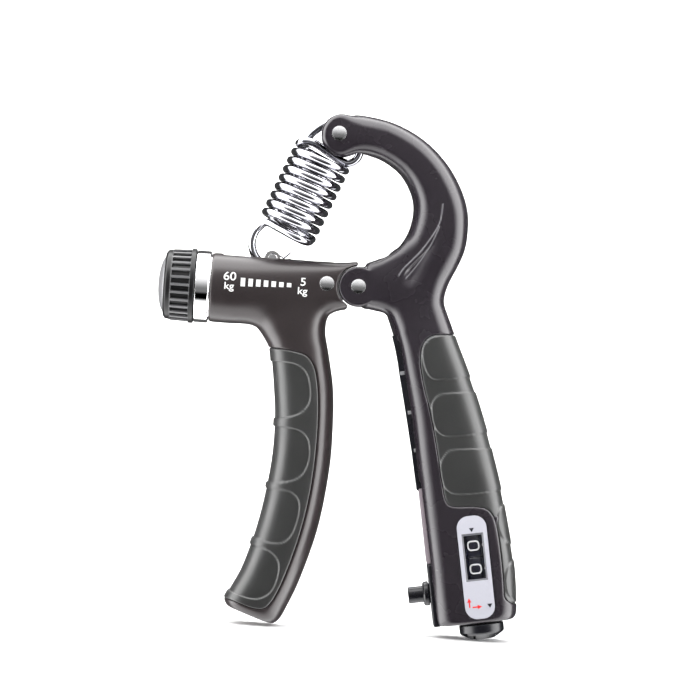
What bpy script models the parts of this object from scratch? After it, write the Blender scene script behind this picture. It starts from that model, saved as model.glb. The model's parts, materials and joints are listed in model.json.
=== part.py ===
"""Adjustable hand grip dynamometer: two hinged handles, a tension spring on a travelling nut, and a push counter.

Lengths in this script are millimetres, turned into metres as each mesh is made. +X runs from the adjuster knob to
the palm handle, +Z is up, and the object is symmetric about Y = 0 except for its counter, which faces -Y. Design
points are measured from the squeeze pivot, and everything moves by SHIFT at the end, so that both handle ends touch
Z = 0 under the middle of the object.
"""

import math

import bmesh
import bpy
from mathutils import Matrix, Vector

MM = 0.001
SHIFT = Vector((3.1, 0.0, 107.9)) * MM
CLEARANCE = 0.3

# Squeeze joint and the pins
PIVOT = (0.0, 0.0)
BOSS_RADIUS = 6.3
BOSS_HALF_DEPTH = 9.6
RIVET_SHANK = 1.6
RIVET_HEAD = 2.3
RIVET_DOME = 1.2
FIXING_RIVET = (-9.9, 0.2)
TONGUE_HALF_THICKNESS = 2.0
TONGUE_RADIUS = 4.6
HOOK_PIN = (-9.3, 47.5)
HOOK_BOSS = (-8.2, 47.1)
HOOK_BOSS_RADIUS = 6.8
HOOK_HALF_DEPTH = 6.8

# Adjuster, all round the barrel's axis
BARREL_AXIS_Z = -3.3
BORE_RADIUS = 7.5
BORE_END = -15.6
RING_RADIUS = 11.3
KNOB_RADIUS = 11.6
KNOB_RIBS = 28
SCREW_RADIUS = 3.0
NUT_X = -27.6
NUT_LENGTH = 8.0
NUT_PIN_Z = 7.1
NUT_PIN_RADIUS = 1.3
SLOT_HALF_WIDTH = 3.6

# Tension spring
WIRE_RADIUS = 1.25
COIL_RADIUS = 8.5
COIL_AXIS_DEG = 68.0
COIL_MIDDLE = (-18.7, 28.9)
COIL_LENGTH = 25.5
COIL_HALF_TURNS = 17
POINTS_PER_TURN = 10
LOWER_HOOK_CENTRE = (-27.0, 11.7)
LOWER_HOOK_RADIUS = 7.4

# Counter, in its own frame: x out of the handle's inner face towards the palm, z up along the handle
COUNTER_ORIGIN = (42.1, 0.0, -81.9)
COUNTER_TILT_DEG = 10.1
DRUM_Y = -4.2
DRUM_RADIUS = 6.3
DRUM_LENGTH = 7.0
SHAFT_RADIUS = 1.4
PLUNGER_Z = -10.4
PLUNGER_Y = 2.0
PLUNGER_RADIUS = 2.5
LABEL_MIDDLE_Z = -3.4
LABEL_WIDTH = 9.3
LABEL_LENGTH = 31.6
WINDOW_WIDTH = 6.5
WINDOW_LENGTH = 14.8
BACK_FLAT_Y = 12.2
PINION_CENTRE = (5.0, 2.6)
RESET_KNOB_RADIUS = 6.85

# Soft grips
GRIP_THICKNESS = 2.0

# Stations of the lofted bodies: one edge (x, z), the other edge (x, z), half depth in y, squareness of the section
BARREL_STATIONS = [
    (-46.6, 6.5, -46.6, -13.1, 9.8, 2.3),
    (-46.2, 7.1, -46.2, -13.7, 10.4, 2.3),
    (-45.2, 7.6, -45.2, -14.2, 10.9, 2.3),
    (-34.0, 7.6, -34.0, -14.2, 10.9, 2.4),
    (-22.0, 7.5, -22.0, -13.8, 10.6, 2.8),
    (-14.5, 7.3, -14.5, -12.0, 10.1, 3.2),
    (-9.5, 7.2, -9.5, -10.0, 9.8, 3.6),
    (-6.2, 7.2, -6.6, -8.3, 9.6, 4.0),
    (-0.4, 7.9, -3.2, -7.4, 9.5, 4.0),
]
LEFT_LEVER_STATIONS = [
    (-31.8, -11.5, -7.0, -5.5, 8.6, 2.8),
    (-30.2, -16.0, -9.0, -10.6, 9.5, 2.8),
    (-27.0, -20.4, -9.6, -14.6, 10.2, 2.8),
    (-25.7, -25.5, -8.1, -21.5, 10.9, 2.8),
    (-24.6, -33.0, -5.9, -33.0, 11.3, 2.8),
    (-23.5, -44.0, -5.2, -45.0, 11.7, 2.8),
    (-23.8, -57.5, -5.6, -58.5, 11.9, 2.8),
    (-26.3, -74.5, -8.2, -76.5, 11.8, 2.8),
    (-30.2, -89.0, -12.9, -92.8, 11.5, 2.8),
    (-33.9, -97.2, -16.9, -102.3, 11.2, 2.8),
    (-35.2, -100.3, -18.9, -106.0, 10.6, 2.8),
    (-34.3, -102.6, -20.8, -107.6, 9.0, 2.8),
]
RIGHT_ARM_STATIONS = [
    (-7.6, 41.0, -7.2, 53.8, 6.6, 2.5),
    (-3.0, 41.5, -2.0, 53.9, 7.2, 2.5),
    (1.1, 41.2, 7.6, 52.2, 7.7, 2.5),
    (5.8, 39.5, 17.0, 47.8, 8.3, 2.5),
    (10.6, 36.1, 24.6, 41.2, 8.8, 2.5),
    (13.9, 31.3, 29.7, 33.8, 9.2, 2.5),
    (15.5, 26.0, 32.6, 26.5, 9.5, 2.6),
    (14.8, 19.5, 33.2, 19.5, 9.8, 2.8),
    (12.2, 14.0, 32.6, 13.6, 9.9, 3.0),
    (8.6, 10.4, 30.6, 8.0, 9.9, 3.0),
    (7.4, 3.5, 28.2, 2.6, 9.7, 3.0),
    (8.2, -4.5, 27.2, -2.4, 9.7, 3.0),
    (10.6, -11.0, 28.4, -6.2, 9.9, 3.0),
    (13.0, -17.3, 32.6, -15.6, 10.7, 3.0),
    (15.2, -26.0, 37.0, -25.2, 11.4, 3.0),
    (18.3, -39.0, 42.4, -38.7, 12.0, 3.0),
    (20.8, -52.0, 46.8, -51.8, 12.3, 3.2),
    (23.2, -63.5, 50.2, -63.2, 12.4, 3.4),
    (27.1, -83.0, 54.8, -82.2, 12.4, 3.6),
    (29.9, -98.0, 56.5, -95.0, 12.4, 3.6),
    (31.0, -103.4, 56.6, -99.0, 12.1, 3.6),
    (32.0, -104.7, 55.8, -100.5, 11.3, 3.6),
]
LEVER_START = 12
BRIDGE_STATIONS = [
    (1.8, 7.5, 1.8, -6.8, 9.2, 4.0),
    (4.0, 8.4, 4.0, -6.9, 9.6, 4.0),
    (8.0, 9.9, 8.0, -7.5, 9.4, 4.0),
    (14.0, 10.0, 14.0, -8.0, 9.0, 4.0),
]
LEFT_GRIP_OUTLINE = [
    (-45.0, -21.0), (-17.5, -21.0), (-12.2, -24.2), (-10.0, -33.0), (-9.3, -47.0), (-9.9, -62.0),
    (-12.0, -76.0), (-15.4, -88.9), (-19.6, -100.2), (-23.5, -103.7), (-34.7, -99.9), (-45.0, -99.9),
]
RIGHT_GRIP_OUTLINE = [
    (70.0, -12.6), (31.4, -12.8), (24.4, -14.0), (21.3, -18.5), (22.3, -27.8), (25.5, -38.7),
    (29.5, -55.8), (31.6, -65.7), (34.4, -66.8), (42.1, -65.9), (45.9, -66.8), (48.7, -71.1),
    (51.9, -88.9), (52.4, -96.2), (70.0, -96.2),
]
CHANNEL_OUTLINE = [
    (8.0, -16.5), (19.0, -16.5), (21.6, -26.0), (24.8, -39.0), (27.3, -51.0), (31.5, -71.5), (20.0, -71.5),
]
CHANNEL_RIBS = [(15.6, -26.1), (18.9, -38.2), (21.6, -49.9)]

COUNTER_FRAME = Matrix.Translation(Vector(COUNTER_ORIGIN) * MM) @ Matrix.Rotation(
    math.radians(-COUNTER_TILT_DEG), 4, "Y"
)


# ---------------------------------------------------------------- scene, materials and empties


def clear_scene():
    for thing in list(bpy.data.objects):
        bpy.data.objects.remove(thing, do_unlink=True)


def collection(name):
    made = bpy.data.collections.new(name)
    bpy.context.scene.collection.children.link(made)
    return made


def material(name, colour, roughness, metallic=0.0):
    made = bpy.data.materials.new(name)
    made.use_nodes = True
    shader = made.node_tree.nodes["Principled BSDF"]
    shader.inputs["Base Color"].default_value = (*colour, 1.0)
    shader.inputs["Roughness"].default_value = roughness
    shader.inputs["Metallic"].default_value = metallic
    return made


clear_scene()
PARTS = collection("hand_dynamometer")
CUTTERS = collection("cutters")
LEFT_PLASTIC = material("left_plastic", (0.045, 0.037, 0.039), 0.32)
RIGHT_PLASTIC = material("right_plastic", (0.038, 0.032, 0.042), 0.28)
RUBBER = material("grip_rubber", (0.055, 0.056, 0.056), 0.6)
STEEL = material("polished_steel", (0.75, 0.75, 0.77), 0.2, 1.0)
CHROME = material("chrome", (0.85, 0.85, 0.87), 0.06, 1.0)
SPRING_STEEL = material("spring_wire", (0.7, 0.7, 0.73), 0.15, 1.0)
BRASS = material("brass", (0.72, 0.52, 0.22), 0.3, 1.0)
BLACK_PLASTIC = material("black_plastic", (0.01, 0.01, 0.012), 0.3)
GREY_PLASTIC = material("grey_plastic", (0.45, 0.42, 0.45), 0.45)
CAP_GREY = material("cap_grey", (0.55, 0.55, 0.56), 0.35, 0.6)
LABEL_WHITE = material("label_white", (0.75, 0.75, 0.82), 0.4)
DRUM_BLACK = material("drum_black", (0.012, 0.012, 0.03), 0.35)
ACETAL = material("acetal_white", (0.8, 0.79, 0.75), 0.45)
CLEAR = material("clear_window", (0.8, 0.85, 0.88), 0.05)


def empty(name, x, y, z):
    made = bpy.data.objects.new(name, None)
    made.location = Vector((x, y, z)) * MM
    made.empty_display_size = 4 * MM
    PARTS.objects.link(made)
    return made


def place(name, mesh, look, matrix=None):
    made = bpy.data.objects.new(name, mesh)
    if look is not None:
        mesh.materials.clear()
        mesh.materials.append(look)
    if matrix is not None:
        made.matrix_world = matrix
    PARTS.objects.link(made)
    return made


def smooth(thing, angle=35):
    thing.data.shade_smooth()
    thing.data.set_sharp_from_angle(angle=math.radians(angle))
    return thing


# ---------------------------------------------------------------- shapes


def mesh_from(name, shape):
    mesh = bpy.data.meshes.new(name)
    bmesh.ops.recalc_face_normals(shape, faces=shape.faces)
    shape.to_mesh(mesh)
    shape.free()
    return mesh


def box(name, low, high, look=None, matrix=None):
    shape = bmesh.new()
    bmesh.ops.create_cube(shape, size=1.0)
    size = [(high[k] - low[k]) * MM for k in range(3)]
    middle = [(high[k] + low[k]) / 2 * MM for k in range(3)]
    bmesh.ops.scale(shape, vec=size, verts=shape.verts)
    bmesh.ops.translate(shape, vec=middle, verts=shape.verts)
    return place(name, mesh_from(name, shape), look, matrix)


def cylinder(name, start, end, radius, look=None, matrix=None, sides=24, end_radius=None):
    """A cylinder or cone from one point to another."""
    start, end = Vector(start) * MM, Vector(end) * MM
    run = end - start
    turn = Vector((0, 0, 1)).rotation_difference(run).to_matrix().to_4x4()
    shape = bmesh.new()
    bmesh.ops.create_cone(
        shape,
        cap_ends=True,
        segments=sides,
        radius1=radius * MM,
        radius2=(radius if end_radius is None else end_radius) * MM,
        depth=run.length,
        matrix=Matrix.Translation((start + end) / 2) @ turn,
    )
    return smooth(place(name, mesh_from(name, shape), look, matrix))


def turned(name, profile, look, axis="X", centre=(0.0, 0.0, 0.0), matrix=None, steps=24):
    """A Screw of a profile of (radius, height) points, listed from the top down its outer side."""
    mesh = bpy.data.meshes.new(name)
    closed = profile[0][0] > 0
    edges = [(k, k + 1) for k in range(len(profile) - 1)]
    if closed:
        edges.append((len(profile) - 1, 0))
    mesh.from_pydata([(r * MM, 0.0, h * MM) for r, h in profile], edges, [])
    turn = {"X": Matrix.Rotation(math.pi / 2, 4, "Y"), "Y": Matrix.Rotation(-math.pi / 2, 4, "X"), "Z": Matrix()}
    frame = Matrix.Translation(Vector(centre) * MM) @ turn[axis]
    made = place(name, mesh, look, frame if matrix is None else matrix @ frame)
    screw = made.modifiers.new("Screw", "SCREW")
    screw.steps = screw.render_steps = steps
    screw.use_merge_vertices = True
    screw.merge_threshold = 0.00001
    screw.use_smooth_shade = True
    return made


def skin(name, rings, look=None):
    """One closed body through rings of points, with a face over each end."""
    shape = bmesh.new()
    loops = [[shape.verts.new(Vector(p) * MM) for p in ring] for ring in rings]
    count = len(loops[0])
    for one, two in zip(loops, loops[1:]):
        for k in range(count):
            shape.faces.new((one[k], one[(k + 1) % count], two[(k + 1) % count], two[k]))
    shape.faces.new(list(reversed(loops[0])))
    shape.faces.new(loops[-1])
    return smooth(place(name, mesh_from(name, shape), look), 50)


def through(points, steps):
    """A Catmull-Rom curve through points of any size, with the given steps between each two."""
    ends = [points[0], *points, points[-1]]
    curve = []
    for a, b, c, d in zip(ends, ends[1:], ends[2:], ends[3:]):
        for k in range(steps):
            t = k / steps
            curve.append(
                tuple(
                    0.5 * (2 * q + (r - p) * t + (2 * p - 5 * q + 4 * r - s) * t**2 + (3 * q - p - 3 * r + s) * t**3)
                    for p, q, r, s in zip(a, b, c, d)
                )
            )
    curve.append(tuple(points[-1]))
    return curve


def section(station, inset, count):
    """A superellipse between two edge points of a handle."""
    x1, z1, x2, z2, half_depth, power = station
    half_x, half_z = (x2 - x1) / 2, (z2 - z1) / 2
    shrink = 1 - inset / math.hypot(half_x, half_z)
    ring = []
    for k in range(count):
        c, s = math.cos(2 * math.pi * k / count), math.sin(2 * math.pi * k / count)
        along = math.copysign(abs(c) ** (2 / power), c) * shrink
        deep = math.copysign(abs(s) ** (2 / power), s) * (half_depth - inset)
        ring.append(((x1 + x2) / 2 + half_x * along, deep, (z1 + z2) / 2 + half_z * along))
    return ring


def handle_loft(name, stations, look=None, inset=0.0, steps=1, count=20):
    return skin(name, [section(s, inset, count) for s in through(stations, steps)], look)


def prism(name, outline, low_y, high_y, look=None, matrix=None, across="Y"):
    """A flat outline of (x, z) points, made thick along Y, or along Z for an (x, y) outline."""
    curve = bpy.data.curves.new(name, "CURVE")
    curve.dimensions = "2D"
    curve.fill_mode = "BOTH"
    curve.extrude = (high_y - low_y) / 2 * MM
    spline = curve.splines.new("POLY")
    spline.points.add(len(outline) - 1)
    for point, (x, z) in zip(spline.points, outline):
        point.co = (x * MM, z * MM, 0.0, 1.0)
    spline.use_cyclic_u = True
    flat = bpy.data.objects.new(name + "_outline", curve)
    bpy.context.scene.collection.objects.link(flat)
    mesh = bpy.data.meshes.new_from_object(flat.evaluated_get(bpy.context.evaluated_depsgraph_get()))
    bpy.data.objects.remove(flat, do_unlink=True)
    bpy.data.curves.remove(curve)
    mesh.name = name
    middle = (high_y + low_y) / 2 * MM
    if across == "Y":
        mesh.transform(Matrix.Translation((0, middle, 0)) @ Matrix.Rotation(math.pi / 2, 4, "X"))
    else:
        mesh.transform(Matrix.Translation((0, 0, middle)))
    shape = bmesh.new()
    shape.from_mesh(mesh)
    bmesh.ops.remove_doubles(shape, verts=shape.verts, dist=0.000001)
    bmesh.ops.recalc_face_normals(shape, faces=shape.faces)
    shape.to_mesh(mesh)
    shape.free()
    return place(name, mesh, look, matrix)


def arc(centre, radius, start_deg, end_deg, count):
    """Points on an arc in a plane, both ends included."""
    points = []
    for k in range(count + 1):
        angle = math.radians(start_deg + (end_deg - start_deg) * k / count)
        points.append((centre[0] + radius * math.cos(angle), centre[1] + radius * math.sin(angle)))
    return points


def rounded_box_outline(width, length, radius, middle=0.0, count=6):
    """A rectangle about the counter frame's z axis with round corners."""
    points = []
    for sx, sz, start in ((1, 1, 0), (-1, 1, 90), (-1, -1, 180), (1, -1, 270)):
        corner = (sx * (width / 2 - radius), middle + sz * (length / 2 - radius))
        points += arc(corner, radius, start, start + 90, count)
    return points


def stadium(one, two, radius, count=10):
    """The outline round two circles of one radius."""
    lean = math.degrees(math.atan2(two[1] - one[1], two[0] - one[0]))
    return arc(two, radius, lean - 90, lean + 90, count) + arc(one, radius, lean + 90, lean + 270, count)


def wire(name, points, radius, look):
    """A round wire through points, kept as a curve."""
    curve = bpy.data.curves.new(name, "CURVE")
    curve.dimensions = "3D"
    curve.bevel_depth = radius * MM
    curve.bevel_resolution = 2
    curve.use_fill_caps = True
    curve.materials.append(look)
    spline = curve.splines.new("POLY")
    spline.points.add(len(points) - 1)
    for point, place_mm in zip(spline.points, points):
        point.co = (*(Vector(place_mm) * MM), 1.0)
    made = bpy.data.objects.new(name, curve)
    PARTS.objects.link(made)
    return made


def boolean(target, operation, *tools):
    for tool in tools:
        modifier = target.modifiers.new(tool.name, "BOOLEAN")
        modifier.operation = operation
        modifier.object = tool
        if tool.name not in CUTTERS.objects:
            PARTS.objects.unlink(tool)
            CUTTERS.objects.link(tool)
            tool.hide_render = True
            tool.display_type = "WIRE"
    return target


def cut(target, *tools):
    return boolean(target, "DIFFERENCE", *tools)


def join(target, *others):
    return boolean(target, "UNION", *others)


def across(point, half_depth):
    """The two ends of a pin that crosses the object at a design point."""
    return (point[0], -half_depth, point[1]), (point[0], half_depth, point[1])


def rivet(name, point, half_grip, look=STEEL):
    """A solid rivet across the object, with a low dome on both sides."""
    dome = [(RIVET_HEAD * math.sin(a), half_grip + RIVET_DOME * math.cos(a)) for a in (0.0, 0.4, 0.8, 1.2)]
    half = [*dome, (RIVET_HEAD, half_grip), (RIVET_SHANK, half_grip)]
    profile = half + [(r, -h) for r, h in reversed(half)]
    return turned(name, profile, look, axis="Y", centre=(point[0], 0.0, point[1]), steps=16)


# ---------------------------------------------------------------- left handle and what it carries


def left_handle():
    body = handle_loft("left_handle", BARREL_STATIONS, LEFT_PLASTIC)
    join(body, handle_loft("left_lever_form", LEFT_LEVER_STATIONS))
    pocket = prism("left_grip_pocket", LEFT_GRIP_OUTLINE, -20, 20)
    cut(pocket, handle_loft("left_core_form", LEFT_LEVER_STATIONS, inset=GRIP_THICKNESS + CLEARANCE))
    bore = cylinder("barrel_bore", (-50, 0, BARREL_AXIS_Z), (BORE_END, 0, BARREL_AXIS_Z), BORE_RADIUS)
    slot_side = [(-42.8, 12.0), (-42.8, 6.0), (-40.0, 1.0), (-17.5, 1.0), (-13.2, 6.0), (-13.2, 12.0)]
    slot = prism("nut_slot", slot_side, -SLOT_HALF_WIDTH, SLOT_HALF_WIDTH)
    nose = cylinder("nose_clearance", *across(PIVOT, 20), BOSS_RADIUS + CLEARANCE, sides=48)
    half = TONGUE_HALF_THICKNESS + CLEARANCE
    tongue = prism("tongue_pocket", stadium(FIXING_RIVET, PIVOT, TONGUE_RADIUS + CLEARANCE), -half, half)
    hole = cylinder("fixing_rivet_hole", *across(FIXING_RIVET, 20), RIVET_SHANK + CLEARANCE, sides=20)
    x, z = FIXING_RIVET
    seats = [cylinder(f"fixing_seat_{k}", (x, 9.2 * k, z), (x, 14.0 * k, z), 2.7, sides=20) for k in (-1, 1)]
    return cut(body, pocket, bore, slot, nose, tongue, hole, *seats)


def left_grip():
    body = prism("left_grip", LEFT_GRIP_OUTLINE, -20, 20, RUBBER)
    boolean(body, "INTERSECT", handle_loft("left_grip_form", LEFT_LEVER_STATIONS))
    cut(body, handle_loft("left_core_clearance", LEFT_LEVER_STATIONS, inset=GRIP_THICKNESS))
    return body


def tongue_plate():
    half = TONGUE_HALF_THICKNESS
    plate = prism("tongue_plate", stadium(FIXING_RIVET, PIVOT, TONGUE_RADIUS), -half, half, STEEL)
    return cut(
        plate,
        cylinder("tongue_rivet_hole", *across(FIXING_RIVET, 6), RIVET_SHANK + CLEARANCE, sides=20),
        cylinder("tongue_bush_hole", *across(PIVOT, 6), RIVET_SHANK + CLEARANCE + 1.3, sides=24),
    )


def pivot_bush():
    inner = RIVET_SHANK + CLEARANCE
    half = TONGUE_HALF_THICKNESS
    profile = [(inner, half), (inner + 1.0, half), (inner + 1.0, -half), (inner, -half)]
    return turned("pivot_bush", profile, BRASS, axis="Y", steps=24)


def around_barrel(name, profile, look, steps=24):
    """A turned piece on the barrel's axis, from (radius, x) points listed with x falling."""
    return turned(name, profile, look, axis="X", centre=(0.0, 0.0, BARREL_AXIS_Z), steps=steps)


def chrome_ring():
    profile = [
        (BORE_RADIUS + 0.2, -46.9), (RING_RADIUS - 0.3, -46.9), (RING_RADIUS, -47.2),
        (RING_RADIUS, -50.6), (RING_RADIUS - 0.3, -50.9), (BORE_RADIUS + 0.2, -50.9),
    ]
    return around_barrel("chrome_ring", profile, CHROME, 32)


def bearing_bush():
    inner = SCREW_RADIUS + CLEARANCE
    profile = [(inner, -46.2), (BORE_RADIUS - 0.3, -46.2), (BORE_RADIUS - 0.3, -50.8), (inner, -50.8)]
    return around_barrel("bearing_bush", profile, BRASS, 24)


def thrust_washer():
    inner = SCREW_RADIUS + CLEARANCE
    return around_barrel("thrust_washer", [(inner, -44.9), (6.8, -44.9), (6.8, -45.9), (inner, -45.9)], ACETAL, 24)


# ---------------------------------------------------------------- adjuster


def ribbed_ring(x, radius, rib_height):
    """One ring of the knob's outline, four points a rib."""
    points = []
    for rib in range(KNOB_RIBS):
        for part, lift in ((0.0, 0.0), (0.42, 0.0), (0.5, rib_height), (0.92, rib_height)):
            angle = 2 * math.pi * (rib + part) / KNOB_RIBS
            r = radius + lift
            points.append((x, r * math.cos(angle), BARREL_AXIS_Z + r * math.sin(angle)))
    return points


def adjuster_knob():
    rings = [
        ribbed_ring(-51.2, KNOB_RADIUS, 0.0),
        ribbed_ring(-52.6, KNOB_RADIUS, 0.0),
        ribbed_ring(-52.9, 10.7, 0.7),
        ribbed_ring(-58.9, 10.7, 0.5),
    ]
    knob = skin("adjuster_knob", rings, BLACK_PLASTIC)
    axis = BARREL_AXIS_Z
    bore = cylinder("knob_bore", (-56.4, 0, axis), (-50.0, 0, axis), SCREW_RADIUS + CLEARANCE)
    screw_way = cylinder("knob_screw_way", (-60.0, 0, axis), (-56.0, 0, axis), 1.6, sides=16)
    head_seat = cylinder("knob_screw_seat", (-60.0, 0, axis), (-57.4, 0, axis), 3.2)
    return cut(knob, bore, screw_way, head_seat)


def knob_cap():
    profile = [(10.7, -59.2), (11.1, -59.7), (11.0, -60.9), (10.1, -61.5), (7.5, -62.3), (4.0, -62.8), (0.0, -63.0)]
    return around_barrel("knob_cap", [(0.0, -59.2), *profile], CAP_GREY, 32)


def adjuster_screw():
    thread = SCREW_RADIUS
    profile = [
        (0.0, -16.3), (thread - 0.6, -16.3), (thread, -16.9), (thread, -43.3), (5.5, -43.3),
        (5.5, -44.6), (thread, -44.6), (thread, -56.1), (1.7, -56.1), (1.7, -50.0), (0.0, -50.0),
    ]
    return around_barrel("adjuster_screw", profile, STEEL, 24)


def knob_screw():
    profile = [(0.0, -50.6), (1.3, -50.6), (1.3, -57.7), (2.8, -57.7), (2.6, -58.8), (0.0, -58.8)]
    return around_barrel("knob_screw", profile, STEEL, 16)


def travelling_nut():
    """A round nut in the barrel's bore, with two ears that carry the nut pin up through the slot."""
    start = (NUT_X - NUT_LENGTH / 2, 0, BARREL_AXIS_Z)
    end = (NUT_X + NUT_LENGTH / 2, 0, BARREL_AXIS_Z)
    nut = cylinder("travelling_nut", start, end, BORE_RADIUS - 0.3, BRASS, sides=28)
    ear = arc((NUT_X, NUT_PIN_Z), 2.4, 0, 180, 8) + [(NUT_X - 2.8, 0.5), (NUT_X + 2.8, 0.5)]
    ears = [prism(f"nut_ear_{k}", ear, low, low + 1.4) for k, low in enumerate((-3.3, 1.9))]
    join(nut, *ears)
    gap = box("nut_hook_gap", (NUT_X - 10, -1.9, 2.2), (NUT_X + 10, 1.9, 12))
    start = (NUT_X - NUT_LENGTH, 0, BARREL_AXIS_Z)
    end = (NUT_X + NUT_LENGTH, 0, BARREL_AXIS_Z)
    hole = cylinder("nut_thread_hole", start, end, SCREW_RADIUS + CLEARANCE)
    pin_hole = cylinder("nut_pin_hole", *across((NUT_X, NUT_PIN_Z), 6), NUT_PIN_RADIUS + 0.25, sides=16)
    return cut(nut, gap, hole, pin_hole)


def nut_pin():
    return cylinder("nut_pin", *across((NUT_X, NUT_PIN_Z), 3.3), NUT_PIN_RADIUS, STEEL, sides=16)


# ---------------------------------------------------------------- tension spring


def coil_points(first_half_turn, last_half_turn):
    """The helix between two counts of half turns, from the lower right end upwards."""
    lean = math.radians(COIL_AXIS_DEG)
    up = Vector((math.cos(lean), 0.0, math.sin(lean)))
    right = Vector((math.sin(lean), 0.0, -math.cos(lean)))
    back = Vector((0.0, 1.0, 0.0))
    middle = Vector((COIL_MIDDLE[0], 0.0, COIL_MIDDLE[1]))
    steps = round((last_half_turn - first_half_turn) * POINTS_PER_TURN / 2)
    points = []
    for k in range(steps + 1):
        half_turns = first_half_turn + (last_half_turn - first_half_turn) * k / steps
        angle = math.pi * half_turns
        height = COIL_LENGTH * (half_turns / COIL_HALF_TURNS - 0.5)
        round_it = right * math.cos(angle) + back * math.sin(angle)
        points.append(tuple(middle + up * height + round_it * COIL_RADIUS))
    return points


def lower_hook_points():
    """The open hook round the nut pin, from its free end to the coil's lower right end."""
    hook = arc(LOWER_HOOK_CENTRE, LOWER_HOOK_RADIUS, -24, -215, 18)
    route = [(x, 0.0, z) for x, z in hook]
    start = coil_points(0, 1)[0]
    bend = [route[-1], (-30.3, -1.6, 18.2), (-26.2, -4.6, 16.6), (-20.6, -6.9, 14.0), (-17.0, -4.4, 12.9), start]
    return route[:-1] + through(bend, 3)


def eye_points():
    """The closed eye over the hook pin, from the coil's upper left end round to its free end."""
    start = coil_points(COIL_HALF_TURNS - 1, COIL_HALF_TURNS)[-1]
    route = [
        start, (-20.4, -1.9, 44.5), (-17.2, -1.7, 44.2), (-13.4, -0.5, 42.2), (-9.6, 0.0, 39.9), (-6.0, 0.0, 38.6),
        (-3.2, 0.0, 40.3), (-2.2, 0.0, 44.2), (-3.2, 0.0, 48.2), (-6.4, 0.0, 50.9), (-10.3, 0.0, 51.5),
        (-14.2, 0.1, 50.2), (-17.4, 0.8, 47.8), (-19.2, 1.4, 45.6),
    ]
    return through(route, 3)


def tension_spring():
    gap_in_half_turns = 0.055
    split = 8
    lower = lower_hook_points() + coil_points(0, split - gap_in_half_turns)[1:]
    upper = coil_points(split, COIL_HALF_TURNS - 0.06)
    return (
        wire("tension_spring_lower", lower, WIRE_RADIUS, SPRING_STEEL),
        wire("tension_spring_upper", upper, WIRE_RADIUS, SPRING_STEEL),
        wire("tension_spring_eye", eye_points(), WIRE_RADIUS, SPRING_STEEL),
    )


# ---------------------------------------------------------------- right handle


def right_handle():
    body = handle_loft("right_handle", RIGHT_ARM_STATIONS, RIGHT_PLASTIC)
    join(
        body,
        handle_loft("bridge_form", BRIDGE_STATIONS),
        boss("pivot_boss", PIVOT, BOSS_RADIUS, BOSS_HALF_DEPTH, 0.8),
        boss("hook_boss", HOOK_BOSS, HOOK_BOSS_RADIUS, HOOK_HALF_DEPTH, 2.2),
    )
    back = box("back_flat", (-16, BACK_FLAT_Y, -19), (16, 20, 14), None, COUNTER_FRAME)
    cut(body, right_grip_pocket(), *channel_cutters(), *counter_cutters(), *pin_cutters(), back)
    return body


def boss(name, point, radius, half_depth, edge):
    """A round boss across the object with eased edges."""
    corner = [(radius - edge + edge * math.sin(a), half_depth - edge + edge * math.cos(a)) for a in (0.0, 0.8, 1.57)]
    half = [(0.0, half_depth), *corner]
    profile = half + [(r, -h) for r, h in reversed(half)]
    return turned(name, profile, None, axis="Y", centre=(point[0], 0.0, point[1]), steps=32)


def right_grip_pocket():
    pocket = prism("right_grip_pocket", RIGHT_GRIP_OUTLINE, -20, 20)
    core = handle_loft("right_core_form", RIGHT_ARM_STATIONS[LEVER_START:], inset=GRIP_THICKNESS + CLEARANCE)
    return cut(pocket, core)


def channel_cutters():
    """The open channel in the inner face: deep pockets with thin ribs left between them."""
    channel = prism("channel", CHANNEL_OUTLINE, -7.0, 7.0)
    rib_half = 0.6
    lean = math.radians(15)
    for k, (x, z) in enumerate(CHANNEL_RIBS):
        along = Matrix.Translation(Vector((x, 0, z)) * MM) @ Matrix.Rotation(lean, 4, "Y").inverted()
        cut(channel, box(f"channel_rib_{k}", (0.4, -8, -rib_half), (12, 8, rib_half), None, along))
    return [channel]


def counter_cutters():
    cavity = box("counter_cavity", (-9.3, -11.0, -18.8), (8.0, 6.0, 12.0), None, COUNTER_FRAME)
    throat = box("counter_throat", (-12.4, -7.6, -18.5), (-9.1, 5.7, 11.7), None, COUNTER_FRAME)
    inner_way = box("counter_way", (-20, -7.9, -20.95), (-12.2, 7.9, 25.0), None, COUNTER_FRAME)
    label = prism(
        "label_pocket", rounded_box_outline(LABEL_WIDTH + 0.6, LABEL_LENGTH + 0.6, 4.1, LABEL_MIDDLE_Z),
        -16, -11.6, None, COUNTER_FRAME,
    )
    window = box("window_way", (-3.8, -16, -7.9), (3.8, -9, 7.9), None, COUNTER_FRAME)
    neck = cylinder("reset_neck_way", (0, DRUM_Y, -30), (0, DRUM_Y, -15), 2.8, None, COUNTER_FRAME)
    return [cavity, throat, inner_way, label, window, neck]


def pin_cutters():
    reach = 8.0
    half = TONGUE_HALF_THICKNESS + CLEARANCE
    fork_side = arc(PIVOT, TONGUE_RADIUS + 0.5, -90, 90, 10)
    fork_side += [(0, reach), (-reach, reach), (-reach, -reach), (0, -reach)]
    hook_slot = cylinder("hook_slot", *across((-11.2, 44.2), 1.85), 10.6, sides=40)
    return [
        prism("fork_slot", fork_side, -half, half),
        hook_slot,
        cylinder("pivot_rivet_hole", *across(PIVOT, 20), RIVET_SHANK + CLEARANCE, sides=20),
        cylinder("hook_pin_hole", *across(HOOK_PIN, 20), RIVET_SHANK + CLEARANCE, sides=20),
    ]


def right_grip():
    body = prism("right_grip", RIGHT_GRIP_OUTLINE, -20, 20, RUBBER)
    boolean(body, "INTERSECT", handle_loft("right_grip_form", RIGHT_ARM_STATIONS[LEVER_START:]))
    cut(body, handle_loft("right_core_clearance", RIGHT_ARM_STATIONS[LEVER_START:], inset=GRIP_THICKNESS))
    return body


# ---------------------------------------------------------------- counter


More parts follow.
